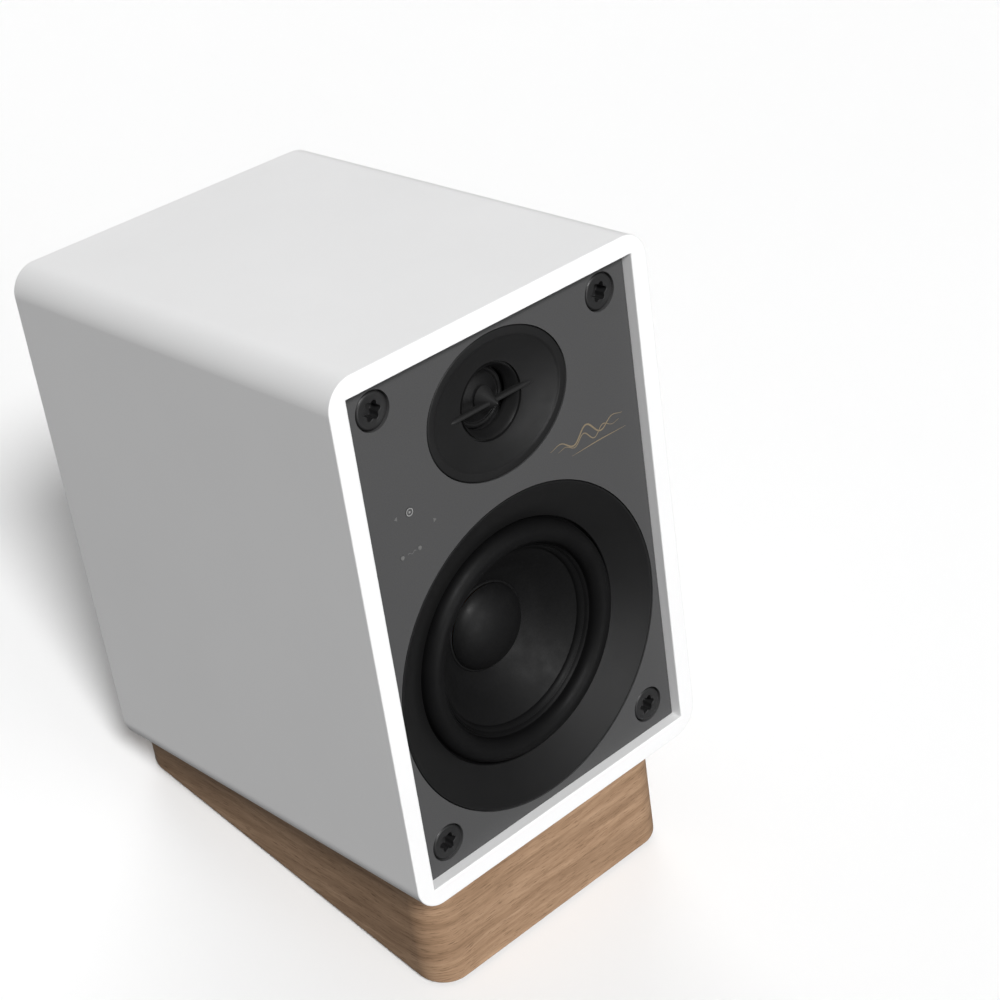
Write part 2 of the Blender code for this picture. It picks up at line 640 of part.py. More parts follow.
def make_rear_panel(frame, mats):
    """The rear board, the reflex port and the amplifier's metal plate with its screws."""
    half = WIDTH / 2 - WALL - GAP
    panel = add_object("rear_panel", box(-half, half, REAR_FRONT, REAR_FACE, WALL + GAP,
                                         HEIGHT - WALL - GAP), mats["black_paint"], parent=frame)
    port = (0.0, PORT_Z)
    outer = PORT_BORE + PORT_WALL
    ends = (REAR_FRONT - BEYOND, REAR_FACE + BEYOND)
    cut(panel, rod(outer + 2 * GAP, *ends, port, MEDIUM))
    cut(panel, box(-PANEL_WINDOW_HALF_WIDTH, PANEL_WINDOW_HALF_WIDTH, *ends, *PANEL_WINDOW_Z))
    seat = REAR_FACE + GAP
    lip = seat + PORT_LIP
    add_object("port_tube", turned(
        [(PORT_FLARE, seat), (outer, seat), (outer, lip - PORT_LENGTH), (PORT_BORE, lip - PORT_LENGTH),
         (PORT_BORE, lip - 0.009), (PORT_BORE + 0.0008, lip - 0.005), (PORT_BORE + 0.0028, lip - 0.0020),
         (PORT_FLARE - 0.0040, lip - 0.0004), (PORT_FLARE - 0.001, lip)],
        MEDIUM, port), mats["black_plastic"], parent=frame)
    plate = add_object("amplifier_plate", prism(rounded_outline(
        -PLATE_HALF_WIDTH, PLATE_HALF_WIDTH, *PLATE_Z, PLATE_CORNER, 3), PLATE_FRONT, PLATE_FACE),
        mats["black_paint"], parent=frame)
    for number, place in enumerate(PLATE_SCREWS, 1):
        cut(plate, rod(PILOT_HOLE, *PLATE_ENDS, place, TINY))
        cut(panel, rod(PILOT_HOLE - 0.0002, REAR_FACE - 0.0095, REAR_FACE + BEYOND, place, TINY))
        make_plate_screw(frame, mats, number, place)
    return plate


def make_plate_screw(frame, mats, number, place):
    """A slotted pan-head screw through the amplifier plate into the rear board."""
    head = MOUNT_FACE + PLATE_HEAD_RISE
    shank = 0.0016
    profile = [(0.0, REAR_FACE - 0.009), (shank, REAR_FACE - 0.0085), (shank, MOUNT_FACE),
               (PLATE_HEAD, MOUNT_FACE), (PLATE_HEAD - 0.0004, head - 0.0004),
               (PLATE_HEAD - 0.0016, head), (0.0, head)]
    screw = add_object(f"plate_screw_{number}", turned(profile, TINY, place), mats["black_steel"],
                       parent=frame)
    x, z = place
    cut(screw, box(x - SLOT_HALF_LENGTH, x + SLOT_HALF_LENGTH, head - SLOT_DEPTH, head + BEYOND,
                   z - SLOT_HALF_WIDTH, z + SLOT_HALF_WIDTH))


def make_controls(frame, mats, plate):
    """The knobs, signal jacks and speaker terminals on the amplifier plate."""
    for name, (x, radius, length) in KNOBS.items():
        make_knob(frame, mats, plate, name, (x, KNOB_Z), radius, length)
    for name, x in JACKS.items():
        place = (x, JACK_Z)
        cut(plate, rod(JACK_BODY + 0.0004, *PLATE_ENDS, place))
        collar = MOUNT_FACE + JACK_COLLAR_THICK
        end = MOUNT_FACE + JACK_LENGTH
        well = MOUNT_FACE - 0.0010
        profile = [(0.0, SHAFT_START), (JACK_BODY, SHAFT_START), (JACK_BODY, MOUNT_FACE),
                   (JACK_COLLAR, MOUNT_FACE), (JACK_COLLAR, collar), (JACK_BODY, collar),
                   (JACK_BODY, end), (JACK_BORE, end), (JACK_BORE, well), (0.0, well)]
        add_object(name, turned(profile, SMALL, place), mats[name], parent=frame)
    for colour, x in TERMINALS.items():
        make_terminal(frame, mats, plate, colour, (x, TERMINAL_Z))


def make_knob(frame, mats, plate, name, place, radius, length):
    """A tapered knob with a pointer notch, on a shaft that starts at the circuit board."""
    cut(plate, rod(SHAFT_RADIUS + 0.0005, *PLATE_ENDS, place))
    base = MOUNT_FACE + 0.0002
    face = base + length
    profile = [(0.0, SHAFT_START), (SHAFT_RADIUS, SHAFT_START), (SHAFT_RADIUS, base), (radius, base),
               (radius * 0.96, face - 0.001), (radius * 0.90, face), (0.0, face)]
    x, z = place
    knob = add_object(name, turned(profile, SMALL, place), mats["knob"], (x, base, z), frame)
    notch = add_object(name + "_notch", box(x - 0.0006, x + 0.0006, face - 0.0005, face + 0.002,
                                            z + radius * 0.35, z + radius * 1.2), None, parent=frame)
    apply_boolean(knob, notch, "DIFFERENCE")


def make_terminal(frame, mats, plate, colour, place):
    """A binding post, and the coloured cap that turns on it."""
    cut(plate, rod(POST_BODY + 0.0004, *PLATE_ENDS, place))
    collar = MOUNT_FACE + POST_COLLAR_THICK
    end = collar + POST_LENGTH
    profile = [(0.0, SHAFT_START), (POST_BODY, SHAFT_START), (POST_BODY, MOUNT_FACE),
               (POST_COLLAR, MOUNT_FACE), (POST_COLLAR, collar), (POST_RADIUS, collar),
               (POST_RADIUS, end), (0.0, end)]
    add_object(f"terminal_post_{colour}", turned(profile, SMALL, place), mats["gold"], parent=frame)
    base = collar + GAP
    top = base + CAP_LENGTH
    shoulder = CAP_OUTER - CAP_CHAMFER
    cap = [(CAP_BORE, base), (shoulder, base), (CAP_OUTER, base + 0.0010), (CAP_OUTER, top - 0.0010),
           (shoulder, top), (CAP_BORE, top)]
    add_object(f"terminal_cap_{colour}", turned(cap, SMALL, place), mats[f"cap_{colour}"],
               (place[0], base, place[1]), frame)


def block_at(place, half_width, half_height, y0, y1):
    """A box centred on a place of the rear plate."""
    x, z = place
    return box(x - half_width, x + half_width, y0, y1, z - half_height, z + half_height)


def flange_at(place, half_width, half_height, y0, y1, corner, steps):
    """A plate with round corners, centred on a place of the rear plate."""
    x, z = place
    return prism(rounded_outline(x - half_width, x + half_width, z - half_height, z + half_height,
                                 corner, steps), y0, y1)


def make_power_entry(frame, mats, plate):
    """The mains inlet and the rocker switch."""
    face = MOUNT_FACE
    width, height, thick = INLET_FLANGE
    inlet = add_object("mains_inlet", flange_at(INLET, width, height, face, face + thick, 0.002, 2),
                       mats["black_plastic"], parent=frame)
    width, height, depth = INLET_BODY
    cut(plate, block_at(INLET, width + GAP, height + GAP, *PLATE_ENDS))
    join(inlet, block_at(INLET, width, height, face - depth, face + 0.001))
    width, height, depth = SOCKET
    floor = face - depth
    cut(inlet, flange_at(INLET, width, height, floor, face + BEYOND, height - 0.0001, 4))
    for side in (-1, 1):
        pin = (INLET[0] + side * PIN_X, INLET[1])
        join(inlet, rod(PIN_RADIUS, floor - 0.001, face - 0.0020, pin, TINY))
    width, height, thick = SWITCH_FLANGE
    housing = add_object("switch_housing", flange_at(SWITCH, width, height, face, face + thick, 0.001, 2),
                         mats["black_plastic"], parent=frame)
    width, height, depth = SWITCH_BODY
    cut(plate, block_at(SWITCH, width + GAP, height + GAP, *PLATE_ENDS))
    join(housing, block_at(SWITCH, width, height, face - depth, face + 0.001))
    width, height, depth = SWITCH_WELL
    cut(housing, block_at(SWITCH, width, height, face - depth, face + BEYOND))
    make_rocker(frame, mats)


def make_rocker(frame, mats):
    """The switch's rocker, level at the middle of its travel and tipped over at rest."""
    bm = bmesh.new()
    faces = [[bm.verts.new((across, y, up)) for y, up in ROCKER_SIDE]
             for across in (-ROCKER_HALF_WIDTH, ROCKER_HALF_WIDTH)]
    bridge_rings(bm, faces, closed=False)
    for corners in faces:
        bm.faces.new(corners)
    rocker = add_object("power_rocker", bm, mats["knob"], parent=frame)
    rocker.location = (SWITCH[0], ROCKER_PIVOT_Y, SWITCH[1])
    rocker.rotation_euler = (ROCKER_TILT, 0.0, 0.0)


def make_electronics(frame, mats):
    """The amplifier's circuit board behind the plate, and the transformer on the cabinet's floor."""
    add_object("amplifier_board", box(-BOARD_HALF_WIDTH, BOARD_HALF_WIDTH, BOARD_Y,
                                      BOARD_Y + BOARD_THICK, *BOARD_Z), mats["board"], parent=frame)
    floor = WALL + GAP
    core = add_object("power_transformer", box(-CORE_HALF_WIDTH, CORE_HALF_WIDTH, *CORE_Y, floor,
                                               floor + CORE_HEIGHT), mats["steel"], parent=frame)
    join(core, box(-BOBBIN_HALF_WIDTH, BOBBIN_HALF_WIDTH, *BOBBIN_Y, floor + BOBBIN_Z[0],
                   floor + BOBBIN_Z[1]))


def upright_rod(radius, z0, z1, y):
    """A cylinder along the cabinet's z, at x = 0."""
    bm = rod(radius, z0, z1, (0.0, 0.0), TINY)
    for vert in bm.verts:
        vert.co = (vert.co.x, y + vert.co.z, vert.co.y)
    return bm


def make_stand(frame, mats):
    """The wooden wedge, its two screws up into the cabinet, and the feet under it."""
    half = WIDTH / 2 - STAND_SIDE_INSET
    outline = rounded_outline(-half, half, STAND_FRONT, STAND_BACK, STAND_CORNER, 8)
    bm = bmesh.new()
    top = [bm.verts.new((x, y, -GAP)) for x, y in outline]
    low = [bm.verts.new((x, y, y * tan(LEAN) - STAND_DROP)) for x, y in outline]
    bridge_rings(bm, [top, low], closed=False)
    for loop in (top, low):
        bm.faces.new(loop)
    wedge = add_object("wedge_stand", bm, mats["walnut"], parent=frame)
    for number, y in enumerate(STAND_SCREWS, 1):
        cut(wedge, upright_rod(STAND_HOLE, -0.08, STAND_SEAT, y))
        cut(wedge, upright_rod(STAND_SHANK + 0.0007, STAND_SEAT - 0.004, 0.004, y))
        screw = add_object(f"stand_screw_{number}", upright_rod(
            STAND_HEAD, STAND_SEAT - 0.0035, STAND_SEAT - GAP, y), mats["steel"], parent=frame)
        join(screw, upright_rod(STAND_SHANK, STAND_SEAT - 0.002, STAND_SHANK_TOP, y))
    make_feet(frame, mats)


def make_feet(frame, mats):
    """Thin rubber pads near the corners of the wedge's underside, in world coordinates."""
    front_y, back_y = [frame.location.y + y * cos(LEAN) + (y * tan(LEAN) - STAND_DROP) * sin(LEAN)
                       for y in (STAND_FRONT, STAND_BACK)]
    places = [(x, y) for x in (-FOOT_X, FOOT_X) for y in (front_y + FOOT_INSET, back_y - FOOT_INSET)]
    angles = [2 * pi * k / SMALL for k in range(SMALL)]
    for number, (x, y) in enumerate(places, 1):
        bm = bmesh.new()
        rings = [[bm.verts.new((x + FOOT_RADIUS * cos(a), y + FOOT_RADIUS * sin(a), z)) for a in angles]
                 for z in (0.0, FOOT_HEIGHT)]
        bridge_rings(bm, rings, closed=False)
        for ring in rings:
            bm.faces.new(ring)
        add_object(f"stand_foot_{number}", bm, mats["rubber"], (x, y, 0.0))


def make_materials():
    """The finishes, by short name."""
    return {
        "lacquer": material("white_lacquer", (0.86, 0.86, 0.86), 0.35),
        "charcoal": material("charcoal_baffle", (0.085, 0.085, 0.085), 0.55),
        "black_plastic": material("black_plastic", (0.018, 0.018, 0.018), 0.45),
        "rubber": material("black_rubber", (0.012, 0.012, 0.012), 0.5),
        "paper": material("black_paper_cone", (0.02, 0.02, 0.02), 0.75),
        "cap": material("dust_cap_fabric", (0.02, 0.02, 0.02), 0.6),
        "silk": material("dome_silk", (0.015, 0.015, 0.015), 0.5),
        "cloth": material("spider_cloth", (0.45, 0.30, 0.12), 0.9),
        "black_steel": material("black_steel", (0.02, 0.02, 0.02), 0.35, 0.6),
        "steel": material("zinc_steel", (0.55, 0.55, 0.57), 0.35, 1.0),
        "ferrite": material("ferrite", (0.05, 0.05, 0.055), 0.6),
        "copper": material("copper_winding", (0.75, 0.35, 0.15), 0.35, 1.0),
        "gold": material("gold_plate", (0.85, 0.62, 0.25), 0.25, 1.0),
        "black_paint": material("black_paint", (0.02, 0.02, 0.02), 0.5),
        "knob": material("knob_plastic", (0.015, 0.015, 0.015), 0.4),
        "rca_jack_white": material("jack_white", (0.8, 0.8, 0.78), 0.4),
        "rca_jack_red": material("jack_red", (0.5, 0.02, 0.02), 0.4),
        "cap_red": material("terminal_red", (0.5, 0.01, 0.01), 0.35),
        "cap_black": material("terminal_black", (0.015, 0.015, 0.015), 0.35),
        "clear": material("light_pipe", (0.75, 0.78, 0.8), 0.2),
        "board": material("circuit_board", (0.02, 0.18, 0.06), 0.5),
        "pine": material("pine_block", (0.55, 0.38, 0.2), 0.7),
        "walnut": material("walnut_veneer", (0.30, 0.185, 0.115), 0.5),
    }


def main():
    for old in list(bpy.data.objects):
        bpy.data.objects.remove(old)
    frame = lean_frame()
    mats = make_materials()
    make_cabinet(frame, mats)
    make_baffle(frame, mats)
    make_woofer_frame(frame, mats)
    make_woofer_cone(frame, mats)
    make_tweeter(frame, mats)
    make_indicators(frame, mats)
    plate = make_rear_panel(frame, mats)
    make_controls(frame, mats, plate)
    make_power_entry(frame, mats, plate)
    make_electronics(frame, mats)
    make_stand(frame, mats)


main()
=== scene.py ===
"""Looks of the bookshelf speaker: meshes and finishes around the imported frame, light and camera."""
import json
from math import atan2, cos, hypot, pi, radians, sin, sqrt

import bmesh
import bpy
from mathutils import Matrix, Vector
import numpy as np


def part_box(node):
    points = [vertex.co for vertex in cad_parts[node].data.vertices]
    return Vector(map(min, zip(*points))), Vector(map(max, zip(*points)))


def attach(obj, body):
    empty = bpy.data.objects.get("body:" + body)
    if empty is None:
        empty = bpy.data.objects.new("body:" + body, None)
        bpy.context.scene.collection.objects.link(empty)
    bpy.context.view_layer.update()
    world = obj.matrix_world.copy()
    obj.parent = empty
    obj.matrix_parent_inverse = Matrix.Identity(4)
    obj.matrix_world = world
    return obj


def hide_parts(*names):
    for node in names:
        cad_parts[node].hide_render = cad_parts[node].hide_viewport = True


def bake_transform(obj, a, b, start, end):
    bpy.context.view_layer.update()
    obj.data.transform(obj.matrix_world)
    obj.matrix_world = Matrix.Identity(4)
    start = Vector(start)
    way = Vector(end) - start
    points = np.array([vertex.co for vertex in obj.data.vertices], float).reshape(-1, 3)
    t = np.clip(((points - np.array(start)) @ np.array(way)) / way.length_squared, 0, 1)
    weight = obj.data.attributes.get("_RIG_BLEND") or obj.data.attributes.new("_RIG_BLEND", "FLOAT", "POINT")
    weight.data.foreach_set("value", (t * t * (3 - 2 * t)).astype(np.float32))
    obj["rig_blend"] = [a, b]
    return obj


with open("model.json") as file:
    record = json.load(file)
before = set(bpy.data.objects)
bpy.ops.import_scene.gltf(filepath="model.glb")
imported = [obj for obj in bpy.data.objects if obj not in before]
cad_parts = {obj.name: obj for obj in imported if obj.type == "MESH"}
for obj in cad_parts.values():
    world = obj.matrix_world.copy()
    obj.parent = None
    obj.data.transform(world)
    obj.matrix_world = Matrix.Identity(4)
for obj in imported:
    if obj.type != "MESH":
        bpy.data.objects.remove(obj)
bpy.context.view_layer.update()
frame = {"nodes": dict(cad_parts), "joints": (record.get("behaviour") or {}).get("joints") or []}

JOINTS = {joint["name"]: joint for joint in frame["joints"]}
OUTWARD = Vector(JOINTS["woofer_travel"]["axis"])
LEAN = atan2(OUTWARD.z, -OUTWARD.y)
TURN = Matrix.Rotation(-LEAN, 4, "X")

# Segments round large, middling and small turned pieces
FINE = 160
MEDIUM = 96
SMALL = 48

# Small proportions that the frame doesn't hold, in metres
EDGE_SOFT = 0.0005
SKIN = 0.00006          # how far printed marks stand proud
FIT = 0.0003            # running gap round the pieces let into the baffle
MERGE = 0.000004        # points closer than this become one
BEYOND = 0.01           # how far a cutter reaches past what it cuts

KNOBS = ("volume_knob", "treble_knob", "bass_knob")
POSTS = ("terminal_post_red", "terminal_post_black")
JACKS = {"rca_jack_white": "white_plastic", "rca_jack_red": "red_plastic"}

# Baffle screws: recess, hole through the floor of the counterbore, and the counterbore's depth
LOBE_OUTER = 0.0041
LOBE_INNER = 0.0030
SCREW_WELL = 0.0052
SCREW_WELL_DEPTH = 0.0070
COUNTERBORE_GAP = 0.0006
COUNTERBORE_DEPTH = 0.0040
BASKET_HOLE = 0.057
STAND_HOLE = 0.0053

# The waveguide's lip, bowl and mouth
LIP = 0.0038
MOUTH = 0.0150
BOWL_DEPTH = 0.0040
BOWL_CURVE = 1.3
THROAT_DEPTH = 0.0090

# The bridge and its plug
BRIDGE_THICK = 0.0019
BRIDGE_DEPTH = 0.0024
BRIDGE_FRONT = 0.0027
PLUG_HEIGHT = 0.0054
PLUG_CURVE = 0.92

# The silk dome
DOME_RADIUS = 0.0096
DOME_RISE = 0.0027

# The surround's glued land on the cone: distance in from the cone's rim, and height above the paper
GLUED_LAND = ((-0.0001, 0.0), (0.0005, 0.0001), (0.0007, 0.0008), (0.0010, 0.0009), (0.0012, 0.0002),
              (0.0015, 0.0002), (0.0018, 0.0007), (0.0026, 0.0009), (0.0033, 0.0007), (0.0036, 0.0001))


# Places, read from the frame in cabinet coordinates: x right, y into the cabinet, z up along its front

def turned_back(node):
    """The node's vertices, with the cabinet's lean taken out."""
    undo = TURN.inverted()
    return [undo @ vert.co for vert in frame["nodes"][node].data.vertices]


SHELL_POINTS = turned_back("cabinet_shell")
CORNER = Vector((0.0, min(p.y for p in SHELL_POINTS), min(p.z for p in SHELL_POINTS)))
CABINET = TURN @ Matrix.Translation(CORNER)


def points_of(node):
    """The node's vertices in cabinet coordinates."""
    return [point - CORNER for point in turned_back(node)]


def local_box(node):
    """(lowest corner, highest corner) of a node in cabinet coordinates."""
    points = points_of(node)
    low = Vector([min(p[i] for p in points) for i in range(3)])
    high = Vector([max(p[i] for p in points) for i in range(3)])
    return low, high


def middle(low, high):
    """The (x, z) middle of a box."""
    return (low.x + high.x) / 2, (low.z + high.z) / 2


class Round:
    """A turned node: its axis, its least and greatest radius, and where it starts and ends along y."""

    def __init__(self, node):
        low, high = local_box(node)
        self.centre = middle(low, high)
        self.x, self.z = self.centre
        self.front = low.y
        self.back = high.y
        radii = [hypot(p.x - self.x, p.z - self.z) for p in points_of(node)]
        self.inner = min(radii)
        self.outer = max(radii)


# Mesh building

def bridge_rings(bm, rings, closed):
    """Faces between neighbouring rings of vertices; a ring of one vertex is a pole."""
    pairs = list(zip(rings, rings[1:]))
    if closed:
        pairs.append((rings[-1], rings[0]))
    for first, second in pairs:
        for i in range(max(len(first), len(second))):
            j = i + 1
            corners = [first[i % len(first)], first[j % len(first)],
                       second[j % len(second)], second[i % len(second)]]
            unique = list(dict.fromkeys(corners))
            if len(unique) > 2:
                bm.faces.new(unique)


def solid(bm, sections):
    """Joins cross sections of points into a solid with flat ends."""
    loops = [[bm.verts.new(point) for point in section] for section in sections]
    bridge_rings(bm, loops, closed=False)
    bm.faces.new(loops[0])
    bm.faces.new(loops[-1])


def lofted(sections):
    """A solid through cross sections of points."""
    bm = bmesh.new()
    solid(bm, sections)
    return bm


def turned(profile, segments, centre=(0.0, 0.0)):
    """A solid turned about a line along y from (radius, y) points: a ring, unless they end on the axis."""
    bm = bmesh.new()
    rings = []
    for radius, y in profile:
        if radius == 0.0:
            rings.append([bm.verts.new((centre[0], y, centre[1]))])
            continue
        angles = [2 * pi * k / segments for k in range(segments)]
        rings.append([bm.verts.new((centre[0] + radius * cos(a), y, centre[1] + radius * sin(a)))
                      for a in angles])
    bridge_rings(bm, rings, closed=profile[0][0] > 0.0)
    return bm


def parts(steps, first=0):
    """Even parts of the way from 0 to 1."""
    return [k / steps for k in range(first, steps + 1)]


def arc(cx, cy, radius, start, end, steps):
    """Points along an arc of a profile, in degrees, counted from +radius towards +y."""
    angles = [radians(start + (end - start) * k / steps) for k in range(steps + 1)]
    return [(cx + radius * cos(a), cy + radius * sin(a)) for a in angles]


def rod(radius, y0, y1, centre, segments=SMALL):
    """A plain cylinder along y."""
    return turned([(0.0, y0), (radius, y0), (radius, y1), (0.0, y1)], segments, centre)


def fluted(centre, levels, flutes, steps, depth, poles=()):
    """Rings of (radius, y, amount) with flutes cut in by depth times amount; poles close them on the axis."""
    bm = bmesh.new()
    count = flutes * steps
    rings = []
    for radius, y, amount in levels:
        ring = []
        for k in range(count):
            angle = 2 * pi * k / count
            reach = radius - amount * depth * (1 + cos(flutes * angle)) / 2
            ring.append(bm.verts.new((centre[0] + reach * cos(angle), y, centre[1] + reach * sin(angle))))
        rings.append(ring)
    if poles:
        first, last = [[bm.verts.new((centre[0], y, centre[1]))] for y in poles]
        rings = [first] + rings + [last]
    bridge_rings(bm, rings, closed=not poles)
    return bm


def rectangle(x, z, half_x, half_z):
    """The corners of a rectangle about a point."""
    return [(x - half_x, z - half_z), (x + half_x, z - half_z),
            (x + half_x, z + half_z), (x - half_x, z + half_z)]


def rounded_outline(x0, x1, z0, z1, radius, steps):
    """Points round a rectangle with round corners."""
    points = []
    for corner, (cx, cz) in enumerate(((x1 - radius, z1 - radius), (x0 + radius, z1 - radius),
                                       (x0 + radius, z0 + radius), (x1 - radius, z0 + radius))):
        for k in range(steps + 1):
            angle = (corner + k / steps) * pi / 2
            points.append((cx + radius * cos(angle), cz + radius * sin(angle)))
    return points


def oval(centre, half_width, half_height, segments=FINE):
    """Points round an ellipse."""
    angles = [2 * pi * k / segments for k in range(segments)]
    return [(centre[0] + half_width * cos(a), centre[1] + half_height * sin(a)) for a in angles]


def prism(outline, y0, y1):
    """An outline of (x, z) points extruded along y."""
    return lofted([[(x, y, z) for x, z in outline] for y in (y0, y1)])


def box(x0, x1, y0, y1, z0, z1):
    """A box between two corners."""
    return prism([(x0, z0), (x1, z0), (x1, z1), (x0, z1)], y0, y1)


def face_out(bm):
    """Turns a closed bmesh's faces outwards."""
    bmesh.ops.recalc_face_normals(bm, faces=bm.faces)
    if bm.calc_volume(signed=True) < 0.0:
        bmesh.ops.reverse_faces(bm, faces=bm.faces)


def add_object(name, data):
    """A new object in the scene."""
    made = bpy.data.objects.new(name, data)
    bpy.context.scene.collection.objects.link(made)
    return made


def add_mesh(name, bm, finish=None, sharp=35.0):
    """A shown object from a bmesh in cabinet coordinates."""
    face_out(bm)
    mesh = bpy.data.meshes.new(name)
    bm.to_mesh(mesh)
    bm.free()
    mesh.shade_smooth()
    mesh.set_sharp_from_angle(angle=radians(sharp))
    made = add_object(name, mesh)
    made.matrix_world = CABINET
    if finish:
        mesh.materials.append(MATERIALS[finish])
    return made


def apply_modifiers(target, sharp=35.0):
    """Bakes an object's modifiers into its mesh."""
    graph = bpy.context.evaluated_depsgraph_get()
    graph.update()
    mesh = bpy.data.meshes.new_from_object(target.evaluated_get(graph))
    target.modifiers.clear()
    target.data = mesh
    close_slivers(mesh)
    mesh.shade_smooth()
    mesh.set_sharp_from_angle(angle=radians(sharp))


def close_slivers(mesh):
    """Merges points that a cut or a bevel left closer than MERGE, and the faces between them."""
    bm = bmesh.new()
    bm.from_mesh(mesh)
    bmesh.ops.remove_doubles(bm, verts=bm.verts[:], dist=MERGE)
    bmesh.ops.dissolve_degenerate(bm, edges=bm.edges[:], dist=MERGE)
    bm.to_mesh(mesh)
    bm.free()


def combine(target, tools, operation):
    """Cuts or joins target with each bmesh, and bakes the result."""
    bpy.context.view_layer.update()
    helpers = [add_mesh(target.name + "_tool", bm) for bm in tools]
    for helper in helpers:
        step = target.modifiers.new("step", "BOOLEAN")
        step.operation = operation
        step.object = helper
    apply_modifiers(target)
    for helper in helpers:
        bpy.data.objects.remove(helper)


def soften(target, width=EDGE_SOFT, segments=3, angle=30.0):
    """Rounds an object's edges by a small bevel, and bakes it."""
    step = target.modifiers.new("soft_edges", "BEVEL")
    step.width = width
    step.segments = segments
    step.limit_method = "ANGLE"
    step.angle_limit = radians(angle)
    step.use_clamp_overlap = True
    apply_modifiers(target, sharp=50.0)


def flat_faces_flat(target):
    """Lets wide faces rule the shading where they meet small ones."""
    step = target.modifiers.new("face_normals", "WEIGHTED_NORMAL")
    step.keep_sharp = True
    step.weight = 80


def settle(piece, body, slot, *nodes):
    """Parents a piece to the empty of the body it rides on and hides the nodes it stands for; the slot
    argument is not used.
    """
    flat_faces_flat(piece)
    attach(piece, body)
    if nodes:
        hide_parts(*nodes)
    return piece


def show(name, bm, finish, slot, *nodes, body="root", sharp=35.0):
    """Adds a piece and settles it."""
    return settle(add_mesh(name, bm, finish, sharp), body, slot, *nodes)


# Finishes: each is a Principled shader with its own colour variation, roughness and bump

class Finish:
    """A material under construction."""

    def __init__(self, name, colour, roughness, metallic=0.0, coat=0.0, specular=0.5):
        self.material = bpy.data.materials.new(name)
        self.material.use_nodes = True
        self.tree = self.material.node_tree
        self.shader = self.tree.nodes["Principled BSDF"]
        self.colour = (*colour, 1.0)
        self.set("Base Color", self.colour)
        self.set("Roughness", roughness)
        self.set("Metallic", metallic)
        self.set("Coat Weight", coat)
        self.set("Coat Roughness", 0.12)
        self.set("Specular IOR Level", specular)
        self.height = None

    def set(self, socket, value):
        self.shader.inputs[socket].default_value = value

    def add(self, kind, **values):
        node = self.tree.nodes.new(kind)
        for key, value in values.items():
            setattr(node, key, value)
        return node

    def link(self, source, target):
        self.tree.links.new(source, target)

    def coordinates(self, scale=(1.0, 1.0, 1.0), uv=False):
        """Texture coordinates in metres of the object, stretched by scale."""
        source = self.add("ShaderNodeTexCoord")
        mapping = self.add("ShaderNodeMapping")
        mapping.inputs["Scale"].default_value = scale
        self.link(source.outputs["UV" if uv else "Object"], mapping.inputs["Vector"])
        return mapping.outputs["Vector"]

    def noise(self, scale, detail=3.0, rough=0.55, stretch=(1.0, 1.0, 1.0), vector=None, uv=False):
        node = self.add("ShaderNodeTexNoise")
        node.inputs["Scale"].default_value = scale
        node.inputs["Detail"].default_value = detail
        node.inputs["Roughness"].default_value = rough
        self.link(vector or self.coordinates(stretch, uv), node.inputs["Vector"])
        return node.outputs["Fac"]

    def ramp(self, source, stops):
        """Colours along a 0 to 1 input: stops of (place, colour)."""
        node = self.add("ShaderNodeValToRGB")
        elements = node.color_ramp.elements
        while len(elements) < len(stops):
            elements.new(0.5)
        for element, (place, colour) in zip(elements, stops):
            element.position = place
            element.color = (*colour, 1.0)
        self.link(source, node.inputs["Fac"])
        return node.outputs["Color"]

    def span(self, source, low, high, out_low, out_high):
        """A number from low..high laid onto out_low..out_high."""
        node = self.add("ShaderNodeMapRange")
        ends = {"From Min": low, "From Max": high, "To Min": out_low, "To Max": out_high}
        for socket, value in ends.items():
            node.inputs[socket].default_value = value
        self.link(source, node.inputs["Value"])
        return node.outputs["Result"]

    def math(self, operation, first, second):
        node = self.add("ShaderNodeMath", operation=operation)
        for socket, value in zip(node.inputs, (first, second)):
            if isinstance(value, (int, float)):
                socket.default_value = value
            else:
                self.link(value, socket)
        return node.outputs["Value"]

    def multiply(self, first, second, amount):
        """First colour times the second, by amount."""
        node = self.add("ShaderNodeMix", data_type="RGBA", blend_type="MULTIPLY")
        node.inputs["Factor"].default_value = amount
        self.link(first, node.inputs["A"])
        self.link(second, node.inputs["B"])
        return node.outputs["Result"]

    def mottle(self, source, amount):
        """Lightens and darkens the base colour by amount, following source."""
        dark = [c * (1 - amount) for c in self.colour[:3]]
        light = [min(1.0, c * (1 + amount)) for c in self.colour[:3]]
        self.link(self.ramp(source, ((0.3, dark), (0.7, light))), self.shader.inputs["Base Color"])
        return self

    def vary_roughness(self, source, low, high):
        self.link(self.span(source, 0.3, 0.7, low, high), self.shader.inputs["Roughness"])
        return self

    def bump(self, source, distance, strength=1.0):
        """Adds a height, in metres, on top of the ones before it."""
        node = self.add("ShaderNodeBump")
        node.inputs["Distance"].default_value = distance
        node.inputs["Strength"].default_value = strength
        self.link(source, node.inputs["Height"])
        if self.height:
            self.link(self.height, node.inputs["Normal"])
        self.height = node.outputs["Normal"]
        self.link(self.height, self.shader.inputs["Normal"])
        return self


def layered(name, colour, roughness, tone, polish, grains, **more):
    """A finish whose tone, polish and grain each follow a noise; the last numbers of each are its amounts."""
    made = Finish(name, colour, roughness, **more)
    *pattern, amount = tone
    made.mottle(made.noise(*pattern), amount)
    *pattern, low, high = polish
    made.vary_roughness(made.noise(*pattern), low, high)
    for *pattern, distance, strength in grains:
        made.bump(made.noise(*pattern), distance, strength)
    return made.material


def moulded_black(name="moulded_black", colour=(0.012, 0.012, 0.0122), low=0.38, high=0.48):
    return layered(name, colour, (low + high) / 2, (40.0, 4.0, 0.12), (220.0, 5.0, low, high),
                   ((4200.0, 2.0, 0.00002, 0.3),), specular=0.2)


